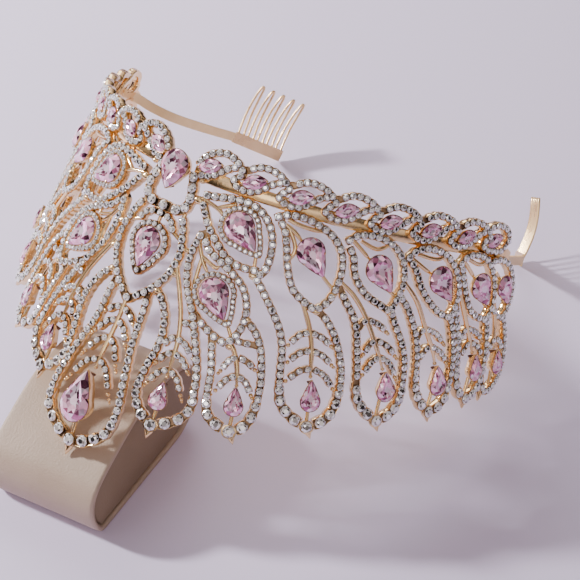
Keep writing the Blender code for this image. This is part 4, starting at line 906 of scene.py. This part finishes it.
def pear_stones(sides, middle):
    """Each cut pear as a piece of its own, and its cup and claws added to the settings."""
    for name, s, h, radius, point, degrees, girdle, _ in PEARS:
        here = seat(s, h, girdle)
        place = -degrees
        ring = turned(pear_outline(radius, point, 0.08, 24), place)
        centre = turned(np.array([[(point - radius) * 0.24, 0.0]]), place)[0]
        target = middle if s == 0.0 else sides
        bezel(target, here, turned(pear_outline(radius, point, 0.16, 72), place), girdle + 0.6)
        claws = turned(pear_outline(radius, point, 0.1, 60), place)
        for k in PEAR_CLAWS:
            blob(target, here, *claws[k], 0.05, CLAW_SIZE)
        stone = Shell()
        cut_stone(stone, here, ring, centre, radius * 0.32, radius * 0.5, 0.66, turns.randrange(60))
        for word in ("",) if s == 0.0 else ("_right", "_left"):
            side = Shell(stone.mirrored() if word == "_left" else stone.parts)
            piece = side.piece(f"cut_{name}{word}", ROSE_CRYSTAL, "rose_crystal")
            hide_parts(f"stone_{name}{word}")


def marquise_stones(sides):
    """All pointed oval stones as one piece, and their cups and claws added to the settings."""
    stones = Shell()
    tilt = -math.degrees(MARQUISE_TILT)
    for i in range(LOOPS):
        s = MARQUISE_FIRST + LOOP_PITCH * i - (MARQUISE_LAST_BACK if i == LOOPS - 1 else 0.0)
        here = seat(s, MARQUISE_H, 1.0)
        ring = turned(marquise_outline(MARQUISE_SIZE, 0.3, 20), tilt)
        cut_stone(stones, here, ring, np.zeros(2), 0.8, 0.9, 0.6, turns.randrange(60))
        bezel(sides, here, turned(marquise_outline(MARQUISE_SIZE, 0.4, 48), tilt), 1.8, 0.3)
        ends = turned(marquise_outline(MARQUISE_SIZE, 0.15, 40), tilt)
        for k in (0, len(ends) // 2):
            blob(sides, here, *ends[k], 0.1, END_CLAW_SIZE)
    stones.parts += stones.mirrored()
    stones.piece("cut_marquises", ROSE_CRYSTAL, "rose_crystal")


def side_arms():
    """Flat bars of both side arms."""
    arms = Shell()
    path = even(curve(ARM), 1.2)
    outward = np.cross(unit(np.gradient(path, axis=0)), (0.0, 0.0, 1.0))
    p = to_world(path)
    sweep(arms, p, unit(to_world(path + outward) - p), bar_section(3.3, 1.0))
    return Shell(arms.parts + arms.mirrored())


def right_comb():
    """Flat spine with its hairpin teeth, fanned and bowed towards the head."""
    comb = Shell()
    start, end = (np.array(v) for v in SPINE)
    length = float(np.linalg.norm(end - start))
    along = (end - start) / length
    tooth = np.array(TOOTH_LEAN)
    tooth = unit(tooth - along * float(tooth @ along))
    inward = np.cross(tooth, along)

    def lay(line, section):
        p = to_world(line)
        sweep(comb, p, unit(to_world(line + inward) - p), section)

    lay(start + along * np.linspace(-0.3, length, 24)[:, None], bar_section(4.3, 0.8))
    for i in range(COMB_TEETH):
        u = length / COMB_TEETH * (i + 0.5)
        rising = [(u - gap, up) for gap, up in HAIRPIN]
        falling = [(u + gap, up) for gap, up in HAIRPIN[::-1]]
        wire = even(curve(rising + [(u, TOOTH_LENGTH)] + falling), 0.6)
        wire[:, 0] += TOOTH_FAN * (i - (COMB_TEETH - 1) / 2) * wire[:, 1] / TOOTH_LENGTH
        bow = TOOTH_BOW * np.sin(math.pi * np.clip(wire[:, 1] / TOOTH_LENGTH, 0.0, 1.0))
        line = start + along * wire[:, :1] + tooth * wire[:, 1:] - inward * bow[:, None]
        lay(line, TOOTH_RADIUS * circle(8))
    return comb


def block_point(along, across, up):
    """Place on the block: along its section, across its width away from the near end, above the floor."""
    c, s = math.cos(BLOCK_YAW), math.sin(BLOCK_YAW)
    x = BLOCK_CORNER[0] - along * s - across * c
    y = BLOCK_CORNER[1] + along * c - across * s
    return np.stack([x, y - ORIGIN_Y, up], axis=-1) * MM


def inset(p, distance):
    """Closed outline moved inwards by an even distance."""
    n = unit(np.roll(p, -1, axis=0) - np.roll(p, 1, axis=0))[:, ::-1] * np.array([-1.0, 1.0])
    return p + n * distance


def loft(outline, rings, closed):
    """Bar through the block from rings of (inset, across)."""
    points = []
    for distance, across in rings:
        q = inset(outline, distance)
        points.append(block_point(q[:, 0], across, q[:, 1]))
    shell = Shell()
    shell.add(np.vstack(points), bands(len(rings), len(outline), closed))
    return shell


def far_edge(edge):
    """The same edge at the block's far face."""
    return [(distance, BLOCK_WIDTH - across) for distance, across in edge[::-1]]


def light(name, watts, colour, place, aim, shape, size):
    """Adds an area light turned towards its aim."""
    data = bpy.data.lights.new(name, "AREA")
    data.energy = watts
    data.color = colour
    data.shape = shape
    data.size = size
    data.size_y = size
    thing = bpy.data.objects.new(name, data)
    back = unit(np.subtract(place, aim))
    side = unit(np.cross((0.0, 0.0, 1.0), back))
    thing.matrix_world = placed_at(place, side, np.cross(back, side), back)
    bpy.context.scene.collection.objects.link(thing)


def placed_at(place, right, up, back):
    """Matrix of a thing at a place with its three axes."""
    turn = np.stack([right, up, back], axis=1)
    return Matrix.Translation(place) @ Matrix([[*row] for row in turn]).to_4x4()


def sky():
    """World light: a soft gradient with bright patches, weaker overhead."""
    world = bpy.data.worlds.new("studio")
    world.use_nodes = True
    bpy.context.scene.world = world
    tree = world.node_tree
    place = node(tree, "ShaderNodeTexCoord").outputs["Generated"]
    up = node(tree, "ShaderNodeSeparateXYZ", [("Vector", place)]).outputs["Z"]
    tree.links.new(ramp(tree, up, SKY), tree.nodes["Background"].inputs["Color"])
    patches = map_range(tree, noise(tree, place, 2.3, 1.0), (0.46, 0.6), (0.12, 2.0))
    height = map_range(tree, up, (0.5, 0.95), (1.0, 0.35))
    strength = node(tree, "ShaderNodeMath", [(0, patches), (1, height)], operation="MULTIPLY")
    tree.links.new(strength.outputs[0], tree.nodes["Background"].inputs["Strength"])


# Rows of small stones, then the wires, whose grains give way to those of the rows.
rows = Shell()
rail_rows(rows)
barb_rows(rows)
rope_rows(rows)
halo_rows(rows)
rows.parts += rows.mirrored()
wires = gold_wires()

# Cut stones in their settings.
turns = random.Random(FACET_SEED)
settings, centre_settings = Shell(), Shell()
pear_stones(settings, centre_settings)
marquise_stones(settings)
settings.parts += settings.mirrored() + centre_settings.parts

# Gold work and combs.
# The rails' channels take the painted shade of the second material.
crown_gold = rows.piece("stone_rails", [GOLD, GOLD_IN_PAINTED_SHADE], "pale_gold", 38.0)
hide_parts("crown_frame")
wires.piece("wires_and_tips", [GOLD], "pale_gold", 50.0)
# The cups' walls and rims take the painted shade of the second material.
settings.piece("stone_settings", [GOLD, GOLD_WITH_PAINTED_SHADE_UNDER_STONES], "pale_gold", 50.0)
side_arms().piece("side_arms", [ARM_GOLD], "pale_gold", 50.0)
comb = right_comb()
for word in ("right", "left"):
    side = Shell(comb.mirrored() if word == "left" else comb.parts)
    piece = side.piece(f"wire_comb_{word}", [COMB_GOLD], "pale_gold", 50.0)
    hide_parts(f"comb_{word}")

# Small stones and grains, once every row is known. The cut stones keep them off.
kept = []
for _, s, h, radius, point, degrees, girdle, _ in PEARS:
    a = math.radians(degrees)
    kept.append((s, h, girdle, radius))
    kept.append((s + math.cos(a) * point * 0.6, h + math.sin(a) * point * 0.6, girdle, radius * 0.5))
gem_rows = spaced(sorted(gems, key=lambda row: -row[3]), kept, GEM_CLEARANCE)
small_stones = Shell()
scatter(small_stones, gem_rows, chaton(), 0.05, GEM_SEED)
small_stones.piece("small_stones", CRYSTAL, "rose_crystal")
grain_shell = Shell()
scatter(grain_shell, spaced(grains, gem_rows, GRAIN_CLEARANCE), bead(), 0.0, GRAIN_SEED)
grain_shell.piece("grains", [GOLD], "pale_gold", 80.0)

# Leather block.
section = even(curve(BLOCK_SECTION, True), 0.8)[:-1]
section[:, 1] = np.maximum(section[:, 1], 0.0)
sides = [(0.0, across) for across in np.linspace(3.0, BLOCK_WIDTH - 3.0, 9)]
wrap = loft(section, WRAP_EDGE + sides + far_edge(WRAP_EDGE), True)
piece = wrap.piece("block_leather", [BEIGE], "beige_leather", 60.0)
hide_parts("block_wrap")
core = loft(section, CORE_EDGE + far_edge(CORE_EDGE), False)
piece = core.piece("block_board", [TAUPE], "taupe_leather", 60.0)
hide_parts("block_core")

# Floor, light and camera.
mesh = bpy.data.meshes.new("floor")
mesh.from_pydata([(-3.0, -3.0, 0.0), (3.0, -3.0, 0.0), (3.0, 3.0, 0.0), (-3.0, 3.0, 0.0)], [], [(0, 1, 2, 3)])
mesh.materials.append(make_material("pale floor", plain((0.735, 0.65, 0.87), 0.6)))
floor = bpy.data.objects.new("floor", mesh)
bpy.context.scene.collection.objects.link(floor)
for row in LIGHTS:
    light(*row)
sky()
camera = bpy.data.cameras.new("camera")
camera.sensor_fit = "HORIZONTAL"
camera.sensor_width = 36.0
camera.lens = LENS
viewer = bpy.data.objects.new("camera", camera)
viewer.matrix_world = placed_at(CAMERA_PLACE, RIGHT, np.negative(DOWN), np.negative(AHEAD))
bpy.context.scene.collection.objects.link(viewer)
bpy.context.scene.camera = viewer
